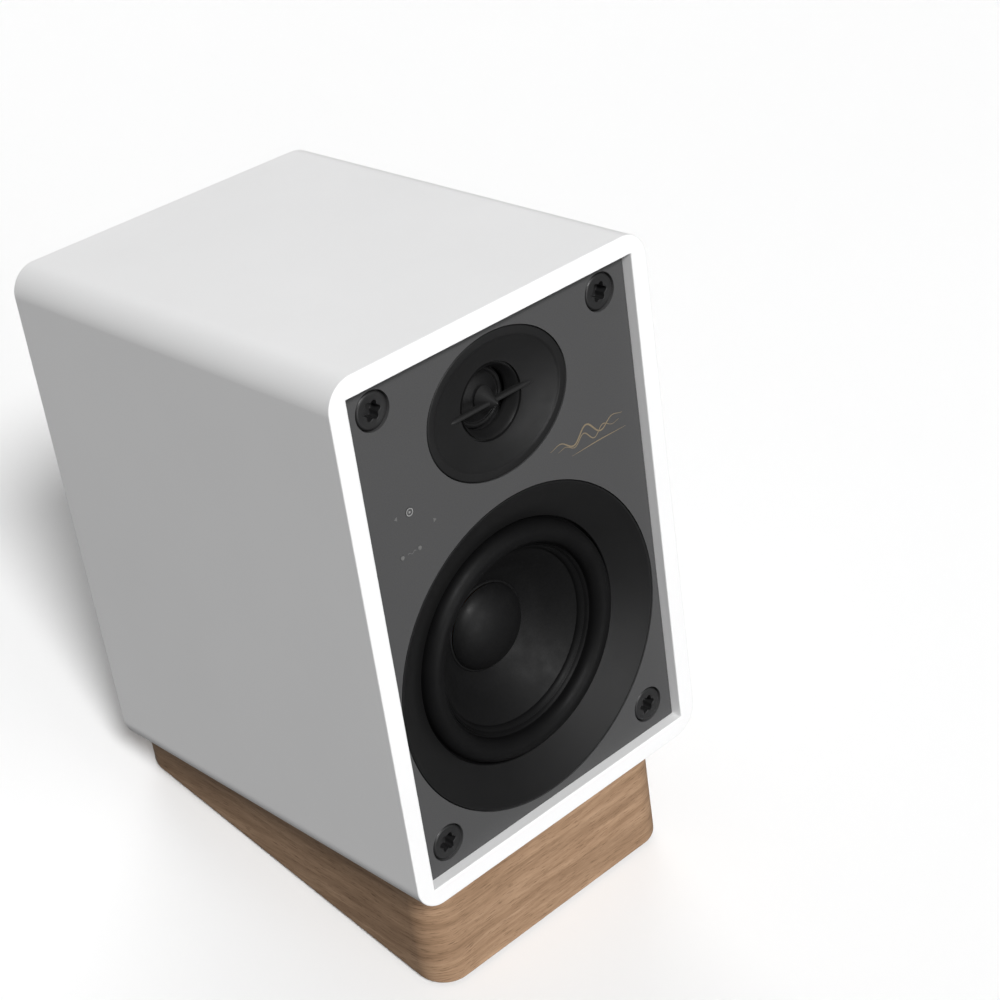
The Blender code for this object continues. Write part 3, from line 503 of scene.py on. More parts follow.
def paper_cone():
    """Pressed pulp: short fibres lying every way over a soft mottle."""
    made = Finish("paper_cone", (0.0040, 0.0040, 0.0042), 0.6, specular=0.19)
    fibres = made.noise(900.0, 6.0, 0.75)
    made.mottle(fibres, 0.35)
    made.vary_roughness(made.noise(130.0, 5.0), 0.54, 0.68)
    long_fibres = made.noise(420.0, 5.0, 0.7, stretch=(1.0, 1.0, 0.18))
    cross_fibres = made.noise(420.0, 5.0, 0.7, stretch=(0.18, 1.0, 1.0))
    made.bump(long_fibres, 0.00012, 0.35)
    made.bump(cross_fibres, 0.00012, 0.35)
    made.bump(fibres, 0.00006, 0.5)
    return made.material


def woven(name, colour, pitch, roughness, depth=0.00006, sheen=0.0, specular=0.3):
    """A plain weave of threads, pitch apart, seen along the driver's axis."""
    made = Finish(name, colour, roughness, specular=specular)
    waves = []
    for direction in ("X", "Z"):
        wave = made.add("ShaderNodeTexWave", wave_type="BANDS", bands_direction=direction)
        wave.inputs["Scale"].default_value = 1.0 / (pitch * 10.0) * pi
        wave.inputs["Distortion"].default_value = 0.4
        wave.inputs["Detail"].default_value = 1.0
        made.link(made.coordinates(), wave.inputs["Vector"])
        waves.append(wave.outputs["Fac"])
    cloth = made.math("MAXIMUM", *waves)
    made.mottle(cloth, 0.25)
    made.bump(cloth, depth, 0.6)
    made.bump(made.noise(2500.0), 0.00002, 0.3)
    made.set("Sheen Weight", sheen)
    return made.material


def metal(name, colour, roughness, metallic=1.0, grain=(1.0, 0.05, 1.0)):
    """Metal with fine machining lines and a little tarnish."""
    return layered(name, colour, roughness, (90.0, 5.0, 0.10),
                   (260.0, 5.0, roughness * 0.85, min(1.0, roughness * 1.2)),
                   ((3000.0, 3.0, 0.55, grain, 0.00001, 0.35),), metallic=metallic)


def walnut():
    """Straight-grained walnut veneer wrapped round the block: the grain follows the block's outline."""
    made = Finish("walnut", (0.36, 0.23, 0.15), 0.5, specular=0.25)
    drift = made.noise(9.0, 3.0, 0.5, stretch=(0.8, 3.0, 1.0), uv=True)
    source = made.add("ShaderNodeTexCoord")
    bend = made.add("ShaderNodeCombineXYZ")
    made.link(made.span(drift, 0.0, 1.0, -0.006, 0.006), bend.inputs["Y"])
    wavy = made.add("ShaderNodeVectorMath", operation="ADD")
    made.link(source.outputs["UV"], wavy.inputs[0])
    made.link(bend.outputs["Vector"], wavy.inputs[1])

    def streaks(along, across, detail, rough=0.6):
        """Noise with so many changes a metre along the grain and across it."""
        mapping = made.add("ShaderNodeMapping")
        mapping.inputs["Scale"].default_value = (along, across, 1.0)
        made.link(wavy.outputs["Vector"], mapping.inputs["Vector"])
        return made.noise(1.0, detail, rough, vector=mapping.outputs["Vector"])

    broad = streaks(7.0, 60.0, 3.0, 0.5)
    bands = streaks(16.0, 190.0, 5.0, 0.65)
    lines = streaks(60.0, 620.0, 5.0, 0.72)
    pores = streaks(150.0, 1500.0, 3.0)
    base = made.ramp(bands, ((0.28, (0.270, 0.166, 0.099)), (0.43, (0.335, 0.214, 0.132)),
                             (0.57, (0.400, 0.262, 0.166)), (0.72, (0.450, 0.303, 0.198))))
    tones = made.ramp(broad, ((0.30, (0.80, 0.78, 0.75)), (0.68, (1.12, 1.12, 1.11))))
    shades = made.ramp(lines, ((0.32, (0.62, 0.58, 0.54)), (0.60, (1.06, 1.06, 1.06))))
    flecks = made.ramp(pores, ((0.34, (0.40, 0.35, 0.31)), (0.43, (1.0, 1.0, 1.0))))
    toned = made.multiply(base, tones, 0.85)
    shaded = made.multiply(toned, shades, 0.62)
    dotted = made.multiply(shaded, flecks, 0.65)
    made.link(dotted, made.shader.inputs["Base Color"])
    made.vary_roughness(lines, 0.58, 0.46)
    made.bump(pores, 0.00006, 0.5)
    made.bump(lines, 0.00004, 0.4)
    return made.material


def sawn_pine():
    made = Finish("sawn_pine", (0.55, 0.38, 0.2), 0.75)
    grain = made.noise(60.0, 5.0, 0.6, stretch=(4.0, 0.3, 4.0))
    made.mottle(grain, 0.2)
    made.bump(grain, 0.0001, 0.4)
    return made.material


def plain(name, colour, roughness, grain=1500.0, amount=0.06, coat=0.0):
    """Smooth moulded or painted stuff with a faint mottle and grain."""
    return layered(name, colour, roughness, (70.0, 4.0, amount),
                   (200.0, 4.0, roughness * 0.88, min(1.0, roughness * 1.15)),
                   ((grain, 2.0, 0.00002, 0.25),), coat=coat)


def pale_ink(name, colour):
    """Thin pale ink over the lights."""
    made = Finish(name, colour, 0.5, specular=0.2)
    made.mottle(made.noise(900.0), 0.08)
    made.bump(made.noise(2600.0), 0.00001, 0.2)
    return made.material


MATERIALS = {
    "lacquer": layered("white_lacquer", (0.85, 0.85, 0.852), 0.36, (14.0, 4.0, 0.012),
                       (60.0, 3.0, 0.34, 0.38),
                       ((700.0, 2.0, 0.00002, 0.25), (3200.0, 2.0, 0.000008, 0.2)), specular=0.3),
    "charcoal": layered("charcoal_baffle", (0.068, 0.068, 0.069), 0.55, (1800.0, 3.0, 0.7, 0.10),
                        (90.0, 5.0, 0.44, 0.56), ((2600.0, 3.0, 0.6, 0.00003, 0.35),), specular=0.2),
    "black": moulded_black(),
    "waveguide": moulded_black("waveguide_black", (0.0105, 0.0105, 0.0107), 0.40, 0.50),
    "bridge": moulded_black("bridge_black", (0.0175, 0.0175, 0.0178), 0.36, 0.46),
    "trim": moulded_black("trim_black", (0.0072, 0.0072, 0.0074), 0.43, 0.46),
    "rubber": layered("surround_rubber", (0.0045, 0.0045, 0.0047), 0.5, (55.0, 5.0, 0.18),
                      (160.0, 5.0, 0.46, 0.56), ((2400.0, 3.0, 0.000025, 0.35),), specular=0.10),
    "paper": paper_cone(),
    "cap": layered("dust_cap", (0.0060, 0.0060, 0.0062), 0.52, (600.0, 5.0, 0.7, 0.2),
                   (240.0, 4.0, 0.42, 0.58), ((1300.0, 4.0, 0.6, 0.00005, 0.3),), specular=0.13),
    "silk": woven("dome_silk", (0.0062, 0.0062, 0.0064), 0.0004, 0.55, 0.00003, 0.01, 0.16),
    "spider": woven("spider_cloth", (0.42, 0.27, 0.10), 0.0008, 0.85),
    "black_steel": metal("black_steel", (0.018, 0.018, 0.0185), 0.42, 0.25),
    "steel": metal("zinc_steel", (0.60, 0.61, 0.63), 0.34),
    "ferrite": plain("ferrite", (0.035, 0.035, 0.038), 0.62, 700.0, 0.2),
    "copper": metal("copper_wire", (0.72, 0.33, 0.14), 0.3, 1.0, (0.3, 3.0, 0.3)),
    "gold": metal("gold_plate", (0.83, 0.60, 0.26), 0.22),
    "nickel": metal("nickel_plate", (0.66, 0.64, 0.60), 0.2),
    "board": plain("solder_mask", (0.02, 0.16, 0.06), 0.4, 900.0, 0.15),
    "rear": plain("rear_paint", (0.018, 0.018, 0.019), 0.6, 1100.0, 0.12),
    "plate": plain("powder_coat", (0.020, 0.020, 0.021), 0.5, 2300.0, 0.12),
    "knob": moulded_black("knob_black", (0.013, 0.013, 0.0135), 0.32, 0.44),
    "white_plastic": plain("jack_white", (0.78, 0.78, 0.76), 0.35, 1800.0, 0.02),
    "red_plastic": plain("jack_red", (0.46, 0.015, 0.012), 0.35, 1800.0, 0.05),
    "cap_red": plain("terminal_red", (0.42, 0.008, 0.008), 0.22, 1500.0, 0.08, coat=0.4),
    "cap_black": plain("terminal_black", (0.012, 0.012, 0.013), 0.22, 1500.0, 0.08, coat=0.4),
    "ink": pale_ink("pale_ink", (0.135, 0.135, 0.133)),
    "lit": pale_ink("lit_ink", (0.26, 0.26, 0.257)),
    "print": plain("white_print", (0.62, 0.62, 0.61), 0.55, 2500.0, 0.05),
    "accent": metal("accent_gold", (0.27, 0.215, 0.14), 0.5, 0.35),
    "foot": plain("foot_rubber", (0.014, 0.014, 0.014), 0.75, 900.0, 0.15),
    "pine": sawn_pine(),
    "walnut": walnut(),
}


# The camera, at the photograph's viewing angle

def make_camera():
    lens = bpy.data.cameras.new("camera")
    lens.sensor_width = 36.0
    lens.lens = 78.37
    lens.clip_start = 0.01
    camera = add_object("camera", lens)
    camera.location = (-0.4658, -0.5623, 0.6854)
    camera.rotation_euler = (radians(53.97), radians(0.425), radians(-44.37))
    bpy.context.scene.camera = camera


def sun(name, towards, brightness, spread, glossy=True):
    """A soft distant light: brightness 1 makes a white surface that faces it white."""
    lamp = bpy.data.lights.new(name, "SUN")
    lamp.energy = pi * brightness
    lamp.angle = radians(spread)
    made = add_object(name, lamp)
    made.rotation_euler = Vector(towards).to_track_quat("Z", "Y").to_euler()
    made.visible_glossy = glossy


def make_stage():
    """A pale floor that runs out of view, an even pale world and soft lights."""
    scene = bpy.context.scene
    scene.view_settings.view_transform = "Standard"
    world = bpy.data.worlds.new("studio")
    world.use_nodes = True
    background = world.node_tree.nodes["Background"]
    background.inputs["Color"].default_value = (1.0, 1.0, 1.0, 1.0)
    background.inputs["Strength"].default_value = 0.20
    scene.world = world
    sun("key_light", (-0.28, -0.62, 0.735), 0.88, 14.0)
    sun("front_fill", (0.05, -0.99, 0.12), 0.43, 36.0)
    sun("back_light", (0.55, 0.80, 0.24), 0.45, 40.0, glossy=False)
    bm = bmesh.new()
    bmesh.ops.create_grid(bm, x_segments=1, y_segments=1, size=6.0)
    mesh = bpy.data.meshes.new("floor")
    bm.to_mesh(mesh)
    bm.free()
    paper = Finish("floor_paper", (0.97, 0.97, 0.97), 0.9, specular=0.1)
    paper.mottle(paper.noise(3.0), 0.004)
    stage_piece(mesh, paper)
    make_backdrop()


def stage_piece(mesh, finish):
    """Adds a piece that stays in view, but out of what the object reflects."""
    piece = add_object(mesh.name, mesh)
    mesh.materials.append(finish.material)
    piece.visible_diffuse = False
    piece.visible_glossy = False
    return piece


def make_backdrop():
    """A pale shell beyond the floor, so that low views end in the same paleness."""
    bm = bmesh.new()
    bmesh.ops.create_uvsphere(bm, u_segments=64, v_segments=32, radius=5.8)
    mesh = bpy.data.meshes.new("backdrop")
    bm.to_mesh(mesh)
    bm.free()
    glow = Finish("backdrop_glow", (0.0, 0.0, 0.0), 1.0, specular=0.0)
    glow.set("Emission Color", (1.0, 1.0, 1.0, 1.0))
    glow.set("Emission Strength", 0.93)
    stage_piece(mesh, glow).visible_shadow = False


# The cabinet, its front board and its stand

def make_cabinet():
    low, high = local_box("cabinet_shell")
    opening_low, opening_high = local_box("front_baffle")
    corner = high.x - max(p.x for p in points_of("cabinet_shell") if p.z < low.z + 1e-5)
    outline = rounded_outline(low.x, high.x, low.z, high.z, corner, 20)
    shell = add_mesh("cabinet", prism(outline, low.y, high.y), "lacquer")
    combine(shell, [box(opening_low.x - FIT, opening_high.x + FIT, low.y - BEYOND, high.y + BEYOND,
                        opening_low.z - FIT, opening_high.z + FIT)], "DIFFERENCE")
    soften(shell, 0.0006, 3)
    settle(shell, "root", "white_lacquer", "cabinet_shell")


def make_baffle():
    low, high = local_box("front_baffle")
    trim = Round("woofer_trim_ring")
    plate_low, plate_high = local_box("tweeter_faceplate")
    centre = middle(plate_low, plate_high)
    board = add_mesh("baffle_board", box(low.x, high.x, low.y, high.y, low.z, high.z),
                     "charcoal")
    ahead = low.y - BEYOND
    behind = high.y + BEYOND
    flange = 0.0043
    cuts = [rod(trim.outer + FIT, ahead, trim.back + flange, trim.centre, FINE),
            rod(BASKET_HOLE, ahead, behind, trim.centre, FINE),
            rod(Round("tweeter_magnet_cup").outer + 0.001, ahead, behind, centre, MEDIUM),
            prism(oval(centre, (plate_high.x - plate_low.x) / 2 + FIT,
                       (plate_high.z - plate_low.z) / 2 + FIT), ahead, plate_high.y + FIT)]
    for number in range(1, 5):
        screw = Round(f"baffle_screw_{number}")
        for radius, depth in ((screw.outer + COUNTERBORE_GAP, COUNTERBORE_DEPTH),
                              (SCREW_WELL, SCREW_WELL_DEPTH)):
            cuts.append(rod(radius, ahead, low.y + depth, screw.centre, MEDIUM))
    for number in range(1, 4):
        light = Round(f"indicator_light_{number}")
        cuts.append(rod(light.outer + 0.0001, ahead, behind, light.centre, SMALL))
    combine(board, cuts, "DIFFERENCE")
    soften(board, 0.00018, 2)
    settle(board, "root", "charcoal_baffle", "front_baffle")


def star_outline(centre, outer, inner, lobes=6, steps=10):
    """A recess outline with round lobes."""
    points = []
    count = lobes * steps
    for k in range(count):
        wave = (1 + cos(2 * pi * k / steps)) / 2
        radius = inner + (outer - inner) * wave ** 0.8
        angle = 2 * pi * k / count
        points.append((centre[0] + radius * cos(angle), centre[1] + radius * sin(angle)))
    return points


def make_baffle_screws():
    """Flat round heads with a soft rim and a six-lobed recess."""
    for number in range(1, 5):
        node = f"baffle_screw_{number}"
        screw = Round(node)
        front = screw.front
        rim = screw.outer
        profile = [(0.0, front + 0.0001), (rim - 0.0026, front + 0.0001)]
        profile += [(rim - 0.0022, front + 0.00005), (rim - 0.0017, front)]
        profile += arc(rim - 0.0009, front + 0.0009, 0.0009, -90, 0, 6)
        under = front + 0.0034
        end = front + 0.0062
        profile += [(rim, under), (0.0050, under), (0.0050, end), (0.0, end)]
        head = add_mesh(f"screw_head_{number}", turned(profile, SMALL, screw.centre),
                        "black_steel")
        recess = prism(star_outline(screw.centre, LOBE_OUTER, LOBE_INNER), front - 0.002, front + 0.0050)
        combine(head, [recess], "DIFFERENCE")
        soften(head, 0.00012, 2, 40.0)
        settle(head, "root", "black_steel", node)


def wedge_uv(mesh, outline_length):
    """Lays the sides out flat, round the outline and up, and the faces above and below in plan."""
    layer = mesh.uv_layers.new(name="UVMap")
    low, high = local_box("wedge_stand")
    for polygon in mesh.polygons:
        for index in polygon.loop_indices:
            point = mesh.vertices[mesh.loops[index].vertex_index].co
            if abs(polygon.normal.z) > 0.7:
                layer.data[index].uv = (point.x + 0.3, point.y)
                continue
            along = unrolled(point, low, high, polygon.center, outline_length)
            layer.data[index].uv = (along, point.z)


def unrolled(point, low, high, beside, corner):
    """How far round the wedge's outline a point lies from the middle of its front; left is negative."""
    cx = high.x - corner
    front = low.y + corner
    back = high.y - corner
    side = 1.0 if beside.x > 0.0 else -1.0
    across = abs(point.x)
    quarter = corner * pi / 2
    if beside.y < front and abs(beside.x) < cx:
        return point.x
    if beside.y < front:
        along = cx + corner * atan2(across - cx, front - point.y)
    elif beside.y <= back:
        along = cx + quarter + point.y - front
    elif abs(beside.x) >= cx:
        along = cx + quarter + back - front + corner * atan2(point.y - back, across - cx)
    else:
        return cx + 2 * quarter + back - front + cx - point.x
    return side * along


def make_stand():
    """The walnut wedge: upright sides, a level underside, softly rounded edges."""
    low, high = local_box("wedge_stand")
    points = points_of("wedge_stand")
    front_drop = min(p.z for p in points)
    slope = sin(LEAN) / cos(LEAN)
    corner = high.x - max(p.x for p in points if p.y < low.y + 1e-5)
    round_under = 0.0012
    base = front_drop - low.y * slope
    rings = []
    for inset, level in ((0.0006, "top"), (0.0, "upper"), (0.0, "lower"),
                         (round_under * 0.3, "turn"), (round_under, "under")):
        ring = []
        shape = rounded_outline(low.x + inset, high.x - inset, low.y + inset, high.y - inset,
                                corner - inset, 16)
        for x, y in shape:
            floor = base + y * slope
            height = {"top": high.z, "upper": high.z - 0.0006, "lower": floor + round_under,
                      "turn": floor + round_under * 0.3, "under": floor}[level]
            ring.append((x, y, height))
        rings.append(ring)
    wedge = add_mesh("walnut_wedge", lofted(rings), "walnut", sharp=60.0)
    holes = []
    for number in (1, 2):
        screw_low, screw_high = local_box(f"stand_screw_{number}")
        y = (screw_low.y + screw_high.y) / 2
        hole = rod(STAND_HOLE, front_drop - 2 * BEYOND, screw_low.z + 0.0035, (0.0, 0.0))
        holes.append(stood_up(hole, 0.0, y))
    combine(wedge, holes, "DIFFERENCE")
    wedge_uv(wedge.data, corner)
    # The place goes into the mesh, so that the wedge's own box is level with the floor
    wedge.data.transform(CABINET)
    wedge.matrix_world = Matrix.Identity(4)
    settle(wedge, "root", "walnut", "wedge_stand")


def stood_up(bm, x, y):
    """Turns a shape made along y to stand along z, at x and y."""
    for vert in bm.verts:
        vert.co = (x + vert.co.x, y + vert.co.z, vert.co.y)
    return bm


# The woofer

def make_trim_ring():
    """The wide dished ring round the woofer, with a crisp outer land and a rolled inner lip."""
    ring = Round("woofer_trim_ring")
    dish = min(p.y for p in points_of("woofer_trim_ring")
               if hypot(p.x - ring.x, p.z - ring.z) < ring.inner + 0.0002)
    front = ring.front
    profile = [(ring.outer, front + 0.0004), (ring.outer - 0.0002, front + 0.0001),
               (ring.outer - 0.0005, front), (ring.outer - 0.0011, front + 0.00015)]
    lip = 0.0007
    start = (ring.outer - 0.0013, front + 0.00035)
    end = (ring.inner + lip, dish - 0.0002)
    for part in parts(6):
        profile.append((start[0] + (end[0] - start[0]) * part, start[1] + (end[1] - start[1]) * part))
    profile += arc(ring.inner + lip, dish + lip - 0.0002, lip, -90, -180, 5)[1:]
    profile += [(ring.inner, ring.back), (ring.outer, ring.back)]
    show("trim_ring", turned(profile, FINE, ring.centre), "trim", "black_plastic", "woofer_trim_ring")


def make_surround():
    """The rubber roll between the basket and the cone, with its glued lands; it flexes with the cone."""
    roll = Round("woofer_surround")
    cone = Round("woofer_cone")
    trim = Round("woofer_trim_ring")
    foot = min(p.y for p in points_of("woofer_surround")
               if hypot(p.x - roll.x, p.z - roll.z) > roll.outer - 0.0005)
    outer = trim.inner - 0.0011
    inner = cone.outer + 0.0002
    middle = (outer + inner) / 2
    reach = (outer - inner) / 2
    base = roll.front + reach
    top = [(roll.outer, foot + 0.0004), (outer + 0.0007, foot + 0.0004), (outer + 0.0001, foot)]
    top += arc(middle, base, reach, 0, -180, 28)
    top.append((inner - 0.0001, cone_surface(cone, inner)))
    for inset, lift in GLUED_LAND:
        radius = cone.outer - inset
        top.append((radius, cone_surface(cone, radius) - lift))
    land = cone.outer - GLUED_LAND[-1][0]
    heel = inner - 0.0006
    low = [(land, cone_surface(cone, land)), (heel, cone_surface(cone, heel) - 0.0001)]
    low += arc(middle, base + 0.0002, reach - 0.0008, -180, 0, 28)
    low += [(outer - 0.0004, foot + 0.0008), (roll.outer, foot + 0.0008)]
    piece = add_mesh("surround", turned(top + low, FINE, roll.centre), "rubber", sharp=50.0)
    radii = [hypot(v.co.x - roll.x, v.co.z - roll.z) for v in piece.data.vertices]
    axis_point = CABINET @ Vector((roll.x, foot, roll.z))
    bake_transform(piece, "root", "woofer_cone_body", axis_point, axis_point + OUTWARD * 0.01)
    weights = piece.data.attributes["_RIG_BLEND"].data
    for weight, radius in zip(weights, radii):
        part = min(1.0, max(0.0, (outer - radius) / (outer - inner)))
        weight.value = part * part * (3 - 2 * part)
    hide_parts("woofer_surround")


def cone_surface(cone, radius):
    """The front of the paper cone at a radius: steep outside the break, then flatter to the neck."""
    neck = cone.back - 0.0012
    depth = neck - cone.front
    knee = cone.outer - 0.61 * (cone.outer - cone.inner)
    knee_y = cone.front + 0.68 * depth
    outer_slope = (knee_y - cone.front) / (cone.outer - knee)
    inner_slope = (neck - knee_y) / (knee - cone.inner)
    away = radius - knee
    soft = 0.0012
    rounding = (sqrt(away * away + soft * soft) - abs(away)) / 2 * (outer_slope - inner_slope)
    slope = outer_slope if away > 0.0 else inner_slope
    return knee_y - slope * away - rounding


def make_cone():
    """The curved paper cone, the dust cap with its bead of glue, and their finish."""
    cone = Round("woofer_cone")
    steps = 40
    radii = [cone.outer + (cone.inner - cone.outer) * k / steps for k in range(steps + 1)]
    face = [(radius, cone_surface(cone, radius)) for radius in radii]
    back = [(radius, y + 0.0012) for radius, y in reversed(face)]
    show("cone", turned(face + back, FINE, cone.centre), "paper", "paper_cone", "woofer_cone",
         body="woofer_cone_body")
    cap = Round("woofer_dust_cap")
    rise = cap.back - 0.0005 - cap.front
    edge = radians(78)
    dome = []
    for part in parts(24):
        angle = part * edge
        dome.append((cap.outer * sin(angle) / sin(edge),
                     cap.front + rise * (1 - cos(angle)) / (1 - cos(edge))))
    base = dome[-1][1]
    dome[0] = (0.0, dome[0][1])
    rim = [(cap.outer + 0.0002, base + 0.0004), (cap.outer - 0.0006, base + 0.0007)]
    inside = [(radius * 0.96, y + 0.0008) for radius, y in reversed(dome)]
    show("dust_cap", turned(dome + rim + inside, MEDIUM, cap.centre), "cap", "dust_cap",
         "woofer_dust_cap", body="woofer_cone_body")
    bead_y = cone_surface(cone, cap.outer + 0.0008)
    bead = arc(cap.outer + 0.0006, bead_y - 0.0002, 0.0007, 0, 345, 14)
    show("glue_bead", turned(bead, MEDIUM, cap.centre), "cap", "dust_cap", body="woofer_cone_body",
         sharp=80.0)


# The tweeter

def make_faceplate():
    """The elliptical waveguide: a flat lip, a concave bowl, a groove, and the throat to the dome."""
    low, high = local_box("tweeter_faceplate")
    centre = middle(low, high)
    half_width = (high.x - low.x) / 2
    half_height = (high.z - low.z) / 2
    throat = Round("tweeter_faceplate").inner
    front = low.y
    levels = [(0.0, 0.0, high.y), (0.0, 0.0, front + 0.0006), (0.0002, 0.0002, front + 0.0002),
              (0.0006, 0.0006, front), (LIP - 0.0008, LIP - 0.0008, front),
              (LIP - 0.0003, LIP - 0.0003, front + 0.00012), (LIP, LIP, front + 0.0005)]
    rings = [oval(centre, half_width - dx, half_height - dz) for dx, dz, y in levels]
    heights = [y for dx, dz, y in levels]
    for part in parts(24, 1):
        drop = 1 - (1 - part) ** BOWL_CURVE
        rings.append(oval(centre, half_width - LIP + (MOUTH + 0.0006 - half_width + LIP) * part,
                          half_height - LIP + (MOUTH + 0.0006 - half_height + LIP) * part))
        heights.append(front + 0.0005 + (BOWL_DEPTH - 0.0005) * drop)
    for radius, y in ((MOUTH + 0.0005, BOWL_DEPTH + 0.0013), (MOUTH - 0.0003, BOWL_DEPTH + 0.0013),
                      (MOUTH - 0.0004, BOWL_DEPTH + 0.0001)):
        rings.append(oval(centre, radius, radius))
        heights.append(front + y)
    for part in parts(8, 1):
        radius = MOUTH - 0.0004 + (throat - MOUTH + 0.0004) * part ** 0.8
        rings.append(oval(centre, radius, radius))
        heights.append(front + BOWL_DEPTH + (THROAT_DEPTH - BOWL_DEPTH) * part)
    rings.append(oval(centre, throat, throat))
    heights.append(high.y)
    bm = bmesh.new()
    loops = [[bm.verts.new((x, y, z)) for x, z in ring] for ring, y in zip(rings, heights)]
    bridge_rings(bm, loops, closed=True)
    show("waveguide", bm, "waveguide", "black_plastic", "tweeter_faceplate", sharp=40.0)


def make_bridge():
    """The thin horizontal blade across the throat and the pointed plug that it carries."""
    low, high = local_box("tweeter_bridge")
    centre = (0.0, (low.z + high.z) / 2)
    tip = low.y
    half = high.x
    front = tip + BRIDGE_FRONT
    back = front + BRIDGE_DEPTH
    rings = []
    steps = 24
    for k in range(steps + 1):
        x = -half + 2 * half * k / steps
        taper = sqrt(max(0.0, 1 - (abs(x) / half) ** 14))
        reach = BRIDGE_THICK / 2 * (0.35 + 0.65 * taper)
        edge = front + 0.0006 * (1 - taper)
        ring = []
        for step in range(9):
            angle = pi * step / 8
            ring.append((x, edge + reach - reach * sin(angle), centre[1] + reach * cos(angle)))
        ring += [(x, back, centre[1] - reach), (x, back, centre[1] + reach)]
        rings.append(ring)
    bridge = add_mesh("bridge", lofted(rings), "bridge", sharp=40.0)
    combine(bridge, [plug_solid(centre, tip, high.y)], "UNION")
    settle(bridge, "root", "black_plastic", "tweeter_bridge")


def plug_solid(centre, tip, base):
    """A pointed plug with a ridge above and below: two round flanks that meet in an edge."""
    bm = bmesh.new()
    side = 24
    rings = [[bm.verts.new((centre[0], tip, centre[1]))]]
    for part in parts(20, 1):
        height = PLUG_HEIGHT * part ** PLUG_CURVE
        width = height * 0.86
        ball = (height * height + width * width) / (2 * width)
        ring = []
        for flank in (1, -1):
            for step in range(side):
                z = flank * height * cos(pi * step / side)
                x = sqrt(ball * ball - z * z) - ball + width
                ring.append(bm.verts.new((centre[0] + flank * x, tip + (base - tip) * part,
                                          centre[1] + z)))
        rings.append(ring)
    rings.append([bm.verts.new((centre[0], base, centre[1]))])
    bridge_rings(bm, rings, closed=False)
    return bm


def make_dome():
    """The silk dome with its narrow roll and the glued joint between them."""
    dome = Round("tweeter_dome")
    radius = DOME_RADIUS
    apex = dome.front
    rise = DOME_RISE
    edge = apex + rise
    ball = (radius * radius + rise * rise) / (2 * rise)
    steps = 20
    profile = []
    for k in range(steps + 1):
        r = radius * k / steps
        profile.append((r, apex + ball - sqrt(ball * ball - r * r)))
    profile += [(radius + 0.0002, edge + 0.0002), (radius + 0.0005, edge + 0.0001)]
    outer = dome.outer
    middle = (radius + 0.0005 + outer - 0.0003) / 2
    reach = (outer - 0.0003 - radius - 0.0005) / 2
    profile += [(middle + reach * cos(a), edge - reach * 0.8 * sin(a))
                for a in [pi - pi * k / 10 for k in range(1, 11)]]
    profile += [(outer, edge + 0.0001), (outer, edge + 0.0005), (radius, edge + 0.0006)]
    profile += [(radius * 0.9, edge + 0.0003), (radius * 0.5, apex + rise * 0.25 + 0.0004),
                (0.0, apex + 0.0004)]
    show("silk_dome", turned(profile, MEDIUM, dome.centre), "silk", "dome_silk", "tweeter_dome",
         body="tweeter_dome_body", sharp=60.0)


# Marks on the baffle

def flat_mark(name, outlines, finish, slot, body="root", y=None, back=False):
    """Thin printed shapes standing just proud of a surface at y."""
    bm = bmesh.new()
    front, rear = (y, y + SKIN) if back else (y - SKIN, y + SKIN * 0.5)
    for outline in outlines:
        solid(bm, [[(x, depth, z) for x, z in outline] for depth in (front, rear)])
    return show(name, bm, finish, slot, body=body)


def ring_quads(centre, inner, outer, start, end, steps):
    """Four-sided pieces along an arc, start to end in degrees."""
    quads = []
    for k in range(steps):
        a0 = radians(start + (end - start) * k / steps)
        a1 = radians(start + (end - start) * (k + 1) / steps)
        quads.append([(centre[0] + r * cos(a), centre[1] + r * sin(a))
                      for r, a in ((inner, a0), (outer, a0), (outer, a1), (inner, a1))])
    return quads


def make_indicators():
    """Light pipes with small printed signs beside them: arrows, a ring and a wave."""
    face = local_box("front_baffle")[0].y
    for number in range(1, 4):
        node = f"indicator_light_{number}"
        frame["nodes"][node].data.materials.clear()
        frame["nodes"][node].data.materials.append(MATERIALS["ink" if number > 1 else "charcoal"])
    main = Round("indicator_light_1")
    x, z = main.centre
    lit = ring_quads((x, z), 0.00125, 0.00165, 0, 360, 32)
    lit.append([(x - 0.00045, z - 0.0006), (x + 0.0006, z), (x - 0.00045, z + 0.0006)])
    flat_mark("light_ring", lit, "lit", "light_pipe", y=main.front - 0.00002)
    left = [(x - 0.0075, z), (x - 0.0061, z + 0.0009), (x - 0.0061, z - 0.0009)]
    right = [(x + 0.0117, z - 0.0084), (x + 0.0103, z - 0.0075), (x + 0.0103, z - 0.0093)]
    flat_mark("arrow_signs", [left, right], "ink", "light_pipe", y=face)
    second = Round("indicator_light_2")
    x, z = second.centre
    wave = []
    count = 12
    length = 0.0040
    height = 0.00045
    half_line = 0.00014
    step = length / count
    for k in range(count):
        place = x + 0.0026 + length * k / count
        rise = [height * sin(2 * pi * (k + j) / 8) for j in (0, 1)]
        wave.append([(place, z + rise[0] - half_line), (place + step, z + rise[1] - half_line),
                     (place + step, z + rise[1] + half_line), (place, z + rise[0] + half_line)])
    flat_mark("wave_sign", wave, "ink", "light_pipe", y=face)


def brush_stroke(points, thick):
    """A list with one outline along a line of points, thickest in its middle."""
    above = []
    below = []
    for k, point in enumerate(points):
        ahead = points[min(k + 1, len(points) - 1)]
        behind = points[max(k - 1, 0)]
        along = Vector((ahead[0] - behind[0], ahead[1] - behind[1])).normalized()
        half = thick * sin(pi * (k + 0.5) / len(points)) + 0.00004
        above.append((point[0] - along.y * half, point[1] + along.x * half))
        below.append((point[0] + along.y * half, point[1] - along.x * half))
    return [above + below[::-1]]


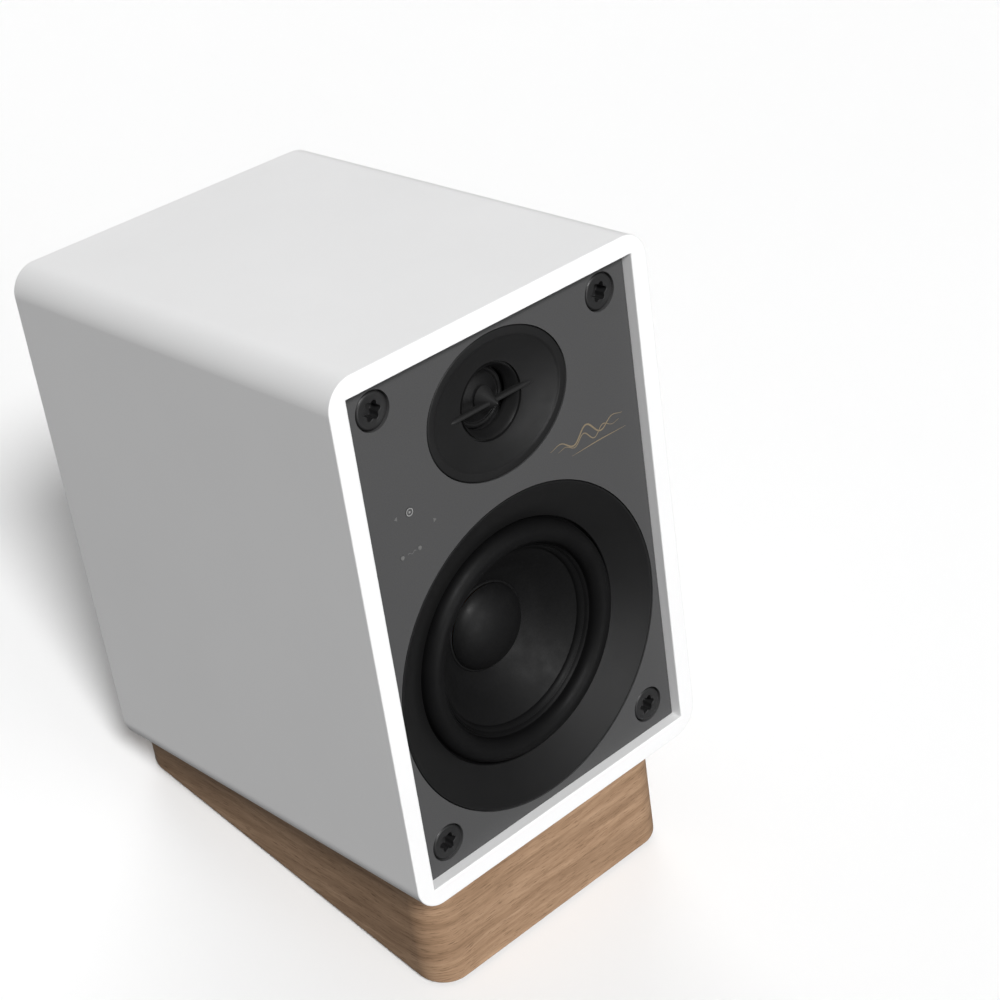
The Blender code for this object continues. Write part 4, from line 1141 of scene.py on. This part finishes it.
def make_accent():
    """A plain gilt flourish below the tweeter: two waves over a thin line."""
    low, high = local_box("front_baffle")
    left = low.x + 0.655 * (high.x - low.x)
    base = low.z + 0.665 * (high.z - low.z)
    strokes = []
    for length, height, rise, turns, shift, thick in ((0.040, 0.0032, 0.0070, 2.5, 0.0, 0.00030),
                                                      (0.034, 0.0022, 0.0050, 3.0, 0.004, 0.00018),
                                                      (0.030, 0.0003, 0.0005, 0.5, 0.011, 0.00016)):
        points = []
        for part in parts(60):
            swell = sin(pi * part)
            points.append((left + shift + length * part,
                           base + rise + height * swell * sin(2 * pi * turns * part)))
        strokes += brush_stroke(points, thick)
    flat_mark("gilt_flourish", strokes, "accent", "gold_plate", y=low.y)


# The back

def make_rear_panel():
    low, high = local_box("rear_panel")
    port = Round("port_tube")
    plate_low, plate_high = local_box("amplifier_plate")
    panel = add_mesh("rear_board", box(low.x, high.x, low.y, high.y, low.z, high.z), "rear")
    inset = 0.010
    combine(panel, [rod(port.inner + 0.0026, low.y - BEYOND, high.y + BEYOND, port.centre, MEDIUM),
                    box(plate_low.x + inset, plate_high.x - inset, low.y - BEYOND, high.y + BEYOND,
                        plate_low.z + inset, plate_high.z - inset)], "DIFFERENCE")
    soften(panel, 0.0003, 2)
    settle(panel, "root", "black_paint", "rear_panel")
    bore = port.inner
    lip = port.back
    seat = lip - 0.0025
    profile = [(port.outer, seat), (bore + 0.0020, seat), (bore + 0.0020, port.front),
               (bore, port.front), (bore, lip - 0.0095)]
    flare = 0.0055
    profile += [(bore + flare - flare * cos(a), lip - 0.0095 + 0.0093 * sin(a))
                for a in [pi / 2 * k / 14 for k in range(1, 15)]]
    profile += [(port.outer - 0.0012, lip), (port.outer - 0.0004, lip - 0.0003),
                (port.outer, lip - 0.0011)]
    show("reflex_port", turned(profile, MEDIUM, port.centre), "black", "black_plastic", "port_tube",
         sharp=40.0)


def make_amplifier_plate():
    low, high = local_box("amplifier_plate")
    plate = add_mesh("rear_plate", prism(rounded_outline(low.x, high.x, low.z, high.z, 0.003, 8),
                                         low.y, high.y), "plate")
    beyond = (low.y - 0.002, high.y + 0.002)
    bores = {f"plate_screw_{number}": 0.0021 for number in range(1, 5)}
    bores.update(dict.fromkeys(KNOBS, 0.0035))
    bores.update(dict.fromkeys((*JACKS, *POSTS), 0.0045))
    holes = [rod(radius, *beyond, Round(name).centre) for name, radius in bores.items()]
    for name, half_x, half_z in (("mains_inlet", 0.0103, 0.0078), ("switch_housing", 0.0068, 0.0103)):
        x, z = Round(name).centre
        holes.append(prism(rectangle(x, z, half_x, half_z), *beyond))
    combine(plate, holes, "DIFFERENCE")
    soften(plate, 0.0003, 2)
    settle(plate, "root", "plate_metal", "amplifier_plate")
    make_print(high.y)


def make_print(y):
    """Printed scales round the knobs, frames round the jacks, and signs at the terminals and switch."""
    marks = []
    for name in KNOBS:
        knob = Round(name)
        start = knob.outer + 0.0014
        for k in range(11):
            angle = radians(240 - 30 * k)
            long = 0.0020 if k % 5 == 0 else 0.0012
            half = 0.00018
            across = Vector((-sin(angle), cos(angle))) * half
            along = Vector((cos(angle), sin(angle)))
            centre = Vector(knob.centre)
            corners = ((start, -1), (start + long, -1), (start + long, 1), (start, 1))
            marks.append([tuple(centre + along * reach + across * side) for reach, side in corners])
    for name in JACKS:
        marks += ring_quads(Round(name).centre, 0.0070, 0.0073, 0, 360, 40)
    above = 0.0110
    for name in POSTS:
        x, z = Round(name).centre
        z += above
        marks.append(rectangle(x, z, 0.0014, 0.0003))
        if name.endswith("red"):
            marks.append(rectangle(x, z + 0.00085, 0.0003, 0.00055))
            marks.append(rectangle(x, z - 0.00085, 0.0003, 0.00055))
    grow = 0.0022
    line = 0.0003
    for name in ("mains_inlet", "switch_housing"):
        low, high = local_box(name)
        outer = rounded_outline(low.x - grow, high.x + grow, low.z - grow, high.z + grow, 0.002, 6)
        inner = rounded_outline(low.x - grow + line, high.x + grow - line, low.z - grow + line,
                                high.z + grow - line, 0.0017, 6)
        count = len(outer)
        for k in range(count):
            following = (k + 1) % count
            marks.append([outer[k], outer[following], inner[following], inner[k]])
    flat_mark("plate_print", marks, "print", "plate_metal", y=y, back=True)


def make_knobs():
    """Fluted knobs, with a white pointer line on the face of each."""
    for name in KNOBS:
        knob = Round(name)
        face = knob.back
        base = JOINTS[name.replace("knob", "turn")]["pos_m"]
        start = (CABINET.inverted() @ Vector(base)).y
        flutes = 36 if knob.outer > 0.010 else 28
        skirt = knob.outer
        levels = ((skirt - 0.0003, start, 0.0), (skirt, start + 0.0003, 0.0),
                  (skirt, start + 0.0022, 0.0), (skirt - 0.0003, start + 0.0025, 0.0),
                  (skirt - 0.0009, start + 0.0028, 0.4), (skirt - 0.0010, start + 0.0034, 1.0),
                  (skirt - 0.0014, face - 0.0016, 1.0), (skirt - 0.0017, face - 0.0009, 0.5),
                  (skirt - 0.0024, face - 0.0003, 0.0), (skirt - 0.0034, face, 0.0),
                  (skirt - 0.0040, face - 0.0001, 0.0), (skirt - 0.0044, face - 0.0004, 0.0))
        bm = fluted(knob.centre, levels, flutes, 6, 0.00032, poles=(start, face - 0.0004))
        piece = add_mesh(name + "_cap", bm, "knob", sharp=40.0)
        body = name + "_body"
        settle(piece, body, "knob_plastic", name)
        line = [(knob.x - 0.0004, knob.z + skirt * 0.25), (knob.x + 0.0004, knob.z + skirt * 0.25),
                (knob.x + 0.0004, knob.z + skirt - 0.0046), (knob.x - 0.0004, knob.z + skirt - 0.0046)]
        flat_mark(name + "_pointer", [line], "print", "knob_plastic", body,
                  y=face - 0.0004, back=True)


def make_jacks():
    """Signal jacks: a coloured collar round a plated barrel with its centre contact."""
    for name, colour in JACKS.items():
        jack = Round(name)
        slot = name.replace("rca_", "")
        end = jack.back
        face = end - 0.0095
        collar = [(0.0046, face), (jack.outer, face), (jack.outer, face + 0.0012),
                  (jack.outer - 0.0004, face + 0.0016), (0.0046, face + 0.0016)]
        show(name + "_collar", turned(collar, SMALL, jack.centre), colour, slot)
        barrel = [(0.0045, face + 0.0001), (0.0045, face + 0.0022), (0.0042, face + 0.0024),
                  (0.0042, end - 0.0004), (0.0039, end), (0.0035, end), (0.0033, end - 0.0003),
                  (0.0033, face + 0.0004), (0.0020, face + 0.0002)]
        show(name + "_barrel", turned(barrel, SMALL, jack.centre), "nickel", slot, name)
        core = [(0.0, face + 0.0003), (0.0032, face + 0.0003), (0.0032, end - 0.0012),
                (0.0028, end - 0.0009), (0.0020, end - 0.0009), (0.0017, end - 0.0013),
                (0.0017, face + 0.0030), (0.0, face + 0.0030)]
        show(name + "_core", turned(core, SMALL, jack.centre), colour, slot)


def make_terminals():
    """Binding posts: a plated, threaded post with a wire hole, and a fluted coloured cap."""
    for colour in ("red", "black"):
        post = Round(f"terminal_post_{colour}")
        cap = Round(f"terminal_cap_{colour}")
        end = post.back
        collar = cap.front - 0.0003
        plate = collar - 0.0022
        profile = [(0.0, plate), (post.outer - 0.0003, plate), (post.outer, plate + 0.0003),
                   (post.outer, collar - 0.0006), (post.outer - 0.0006, collar), (0.0021, collar)]
        turns = 18
        root = 0.00185
        crest = 0.0020
        pitch = (end - 0.0006 - collar) / turns
        for k in range(turns):
            y = collar + pitch * k
            profile += [(root, y + pitch * 0.1), (crest, y + pitch * 0.5), (root, y + pitch * 0.9)]
        profile += [(0.0015, end), (0.0, end)]
        show(f"post_{colour}", turned(profile, SMALL, post.centre), "gold", "gold_plate",
             f"terminal_post_{colour}")
        bore = cap.inner
        levels = ((bore, cap.front, 0.0), (cap.outer - 0.0010, cap.front, 0.0),
                  (cap.outer - 0.0002, cap.front + 0.0006, 0.2), (cap.outer, cap.front + 0.0014, 1.0),
                  (cap.outer, cap.back - 0.0022, 1.0), (cap.outer - 0.0003, cap.back - 0.0012, 0.5),
                  (cap.outer - 0.0012, cap.back - 0.0002, 0.0), (cap.outer - 0.0020, cap.back, 0.0),
                  (bore + 0.0003, cap.back, 0.0), (bore, cap.back - 0.0003, 0.0))
        bm = fluted(cap.centre, levels, 18, 8, 0.0006)
        show(f"cap_{colour}", bm, f"cap_{colour}", f"cap_{colour}", f"terminal_cap_{colour}",
             body=f"{colour}_cap_body", sharp=40.0)


def make_plate_screws():
    """Pan heads with a cross recess."""
    for number in range(1, 5):
        node = f"plate_screw_{number}"
        screw = Round(node)
        top = screw.back
        seat = top - 0.0018
        profile = [(0.0, seat), (screw.outer - 0.0001, seat), (screw.outer, seat + 0.0003)]
        profile += [(screw.outer * cos(a), seat + 0.0003 + 0.0015 * sin(a))
                    for a in [pi / 2 * k / 8 for k in range(1, 8)]]
        profile += [(0.0, top)]
        head = add_mesh(f"plate_screw_head_{number}", turned(profile, SMALL, screw.centre),
                        "black_steel")
        x, z = screw.centre
        long = 0.0016
        thin = 0.00032
        arms = [prism(rectangle(x, z, *halves), top - 0.0010, top + 0.001)
                for halves in ((long, thin), (thin, long))]
        combine(head, arms, "DIFFERENCE")
        settle(head, "root", "black_steel", node)


def make_fitting(name, node, corner, flange, neck, hollow, soft):
    """A black fitting in the plate: a flange, a neck behind it and a hollow; returns the face's middle."""
    low, high = local_box(node)
    x, z = middle(low, high)
    face = high.y
    body = add_mesh(name, prism(rounded_outline(low.x, high.x, low.z, high.z, *corner),
                                face - flange, face), "black")
    half_x, half_z, step = neck
    combine(body, [prism(rectangle(x, z, half_x, half_z), low.y, face - step)], "UNION")
    combine(body, [prism(hollow[0](x, z), face - hollow[1], face + BEYOND)], "DIFFERENCE")
    soften(body, *soft)
    settle(body, "root", "black_plastic", node)
    return x, z, face


def make_power_entry():
    """The mains inlet with its two pins, and the rocker switch in its housing."""
    deep = 0.0142

    def socket(x, z):
        return rounded_outline(x - 0.0072, x + 0.0072, z - 0.0041, z + 0.0041, 0.0040, 12)

    def opening(x, z):
        return rectangle(x, z, 0.0055, 0.0090)

    x, z, face = make_fitting("inlet", "mains_inlet", (0.0022, 8), 0.0022, (0.0100, 0.0075, 0.001),
                              (socket, deep), (0.0004, 3))
    floor = face - deep
    for side, label in ((-1, "left"), (1, "right")):
        pin = [(0.0, floor - 0.0005), (0.0011, floor - 0.0005), (0.0011, face - 0.0050),
               (0.0008, face - 0.0043), (0.0, face - 0.0041)]
        show(f"inlet_pin_{label}", turned(pin, SMALL, (x + side * 0.0042, z)), "nickel", "zinc_steel")
    make_fitting("switch_frame", "switch_housing", (0.0012, 6), 0.0015, (0.0065, 0.0100, 0.0005),
                 (opening, 0.0130), (0.0003, 2))
    make_rocker()


def make_rocker():
    """The rocker: a shallow dished paddle with the line and circle signs."""
    pivot = CABINET.inverted() @ Vector(JOINTS["power_switch"]["pos_m"])
    tilt = radians(-JOINTS["power_switch"]["range_deg"][0] / 2)
    half = 0.0079
    half_across = 0.0051
    steps = 16

    def dish(up):
        """The paddle's height over the pivot, up or down from its middle."""
        return 0.0015 + 0.0015 * (up / half) ** 2

    side_view = []
    for k in range(steps + 1):
        up = -half + 2 * half * k / steps
        side_view.append((dish(up), up))
    side_view += [(-0.0030, 0.0074), (-0.0030, -0.0074)]
    bm = lofted([[(across, y, up) for y, up in side_view] for across in (-half_across, half_across)])
    signs = bmesh.new()
    for outline in (*ring_quads((0.0, -0.0045), 0.0011, 0.0014, 0, 360, 24),
                    rectangle(0.0, 0.0045, 0.00018, 0.0012)):
        solid(signs, [[(a, dish(b) + lift, b) for a, b in outline] for lift in (0.0, SKIN)])
    place = Matrix.Translation(pivot) @ Matrix.Rotation(tilt, 4, "X")
    for part in (bm, signs):
        bmesh.ops.transform(part, matrix=place, verts=part.verts)
    rocker = add_mesh("rocker", bm, "knob")
    soften(rocker, 0.0003, 2)
    settle(rocker, "rocker_body", "knob_plastic", "power_rocker")
    show("rocker_signs", signs, "print", "knob_plastic", body="rocker_body")


def make_feet():
    """Thin rubber pads with a soft edge."""
    for number in range(1, 5):
        node = f"stand_foot_{number}"
        low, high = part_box(node)
        x, y = (low[0] + high[0]) / 2, (low[1] + high[1]) / 2
        radius = (high[0] - low[0]) / 2
        tall = high[2]
        profile = [(0.0, 0.0), (radius - 0.0003, 0.0), (radius, 0.0003), (radius, tall - 0.0003),
                   (radius - 0.0003, tall), (0.0, tall)]
        bm = stood_up(turned(profile, SMALL), x, y)
        foot = add_mesh(f"foot_{number}", bm, "foot")
        foot.matrix_world = Matrix.Identity(4)
        settle(foot, "root", "foot_rubber", node)


def finish_kept_nodes():
    """Finishes for the CAD nodes that keep their own shape, most of them inside the cabinet."""
    kept = {"pine": [f"corner_block_{k}" for k in range(1, 5)],
            "steel": [f"woofer_screw_{k}" for k in range(1, 5)] + [
                "woofer_top_plate", "woofer_yoke", "power_transformer", "stand_screw_1", "stand_screw_2"],
            "black_steel": ["woofer_basket", "tweeter_magnet_cup"],
            "spider": ["woofer_spider"],
            "ferrite": ["woofer_magnet"],
            "copper": ["woofer_voice_coil"],
            "board": ["indicator_board", "amplifier_board"]}
    for finish, nodes in kept.items():
        for node in nodes:
            slots = frame["nodes"][node].data.materials
            slots.clear()
            slots.append(MATERIALS[finish])


make_camera()
make_stage()
make_cabinet()
make_baffle()
make_baffle_screws()
make_stand()
make_trim_ring()
make_surround()
make_cone()
make_faceplate()
make_bridge()
make_dome()
make_indicators()
make_accent()
make_rear_panel()
make_amplifier_plate()
make_knobs()
make_jacks()
make_terminals()
make_plate_screws()
make_power_entry()
make_feet()
finish_kept_nodes()
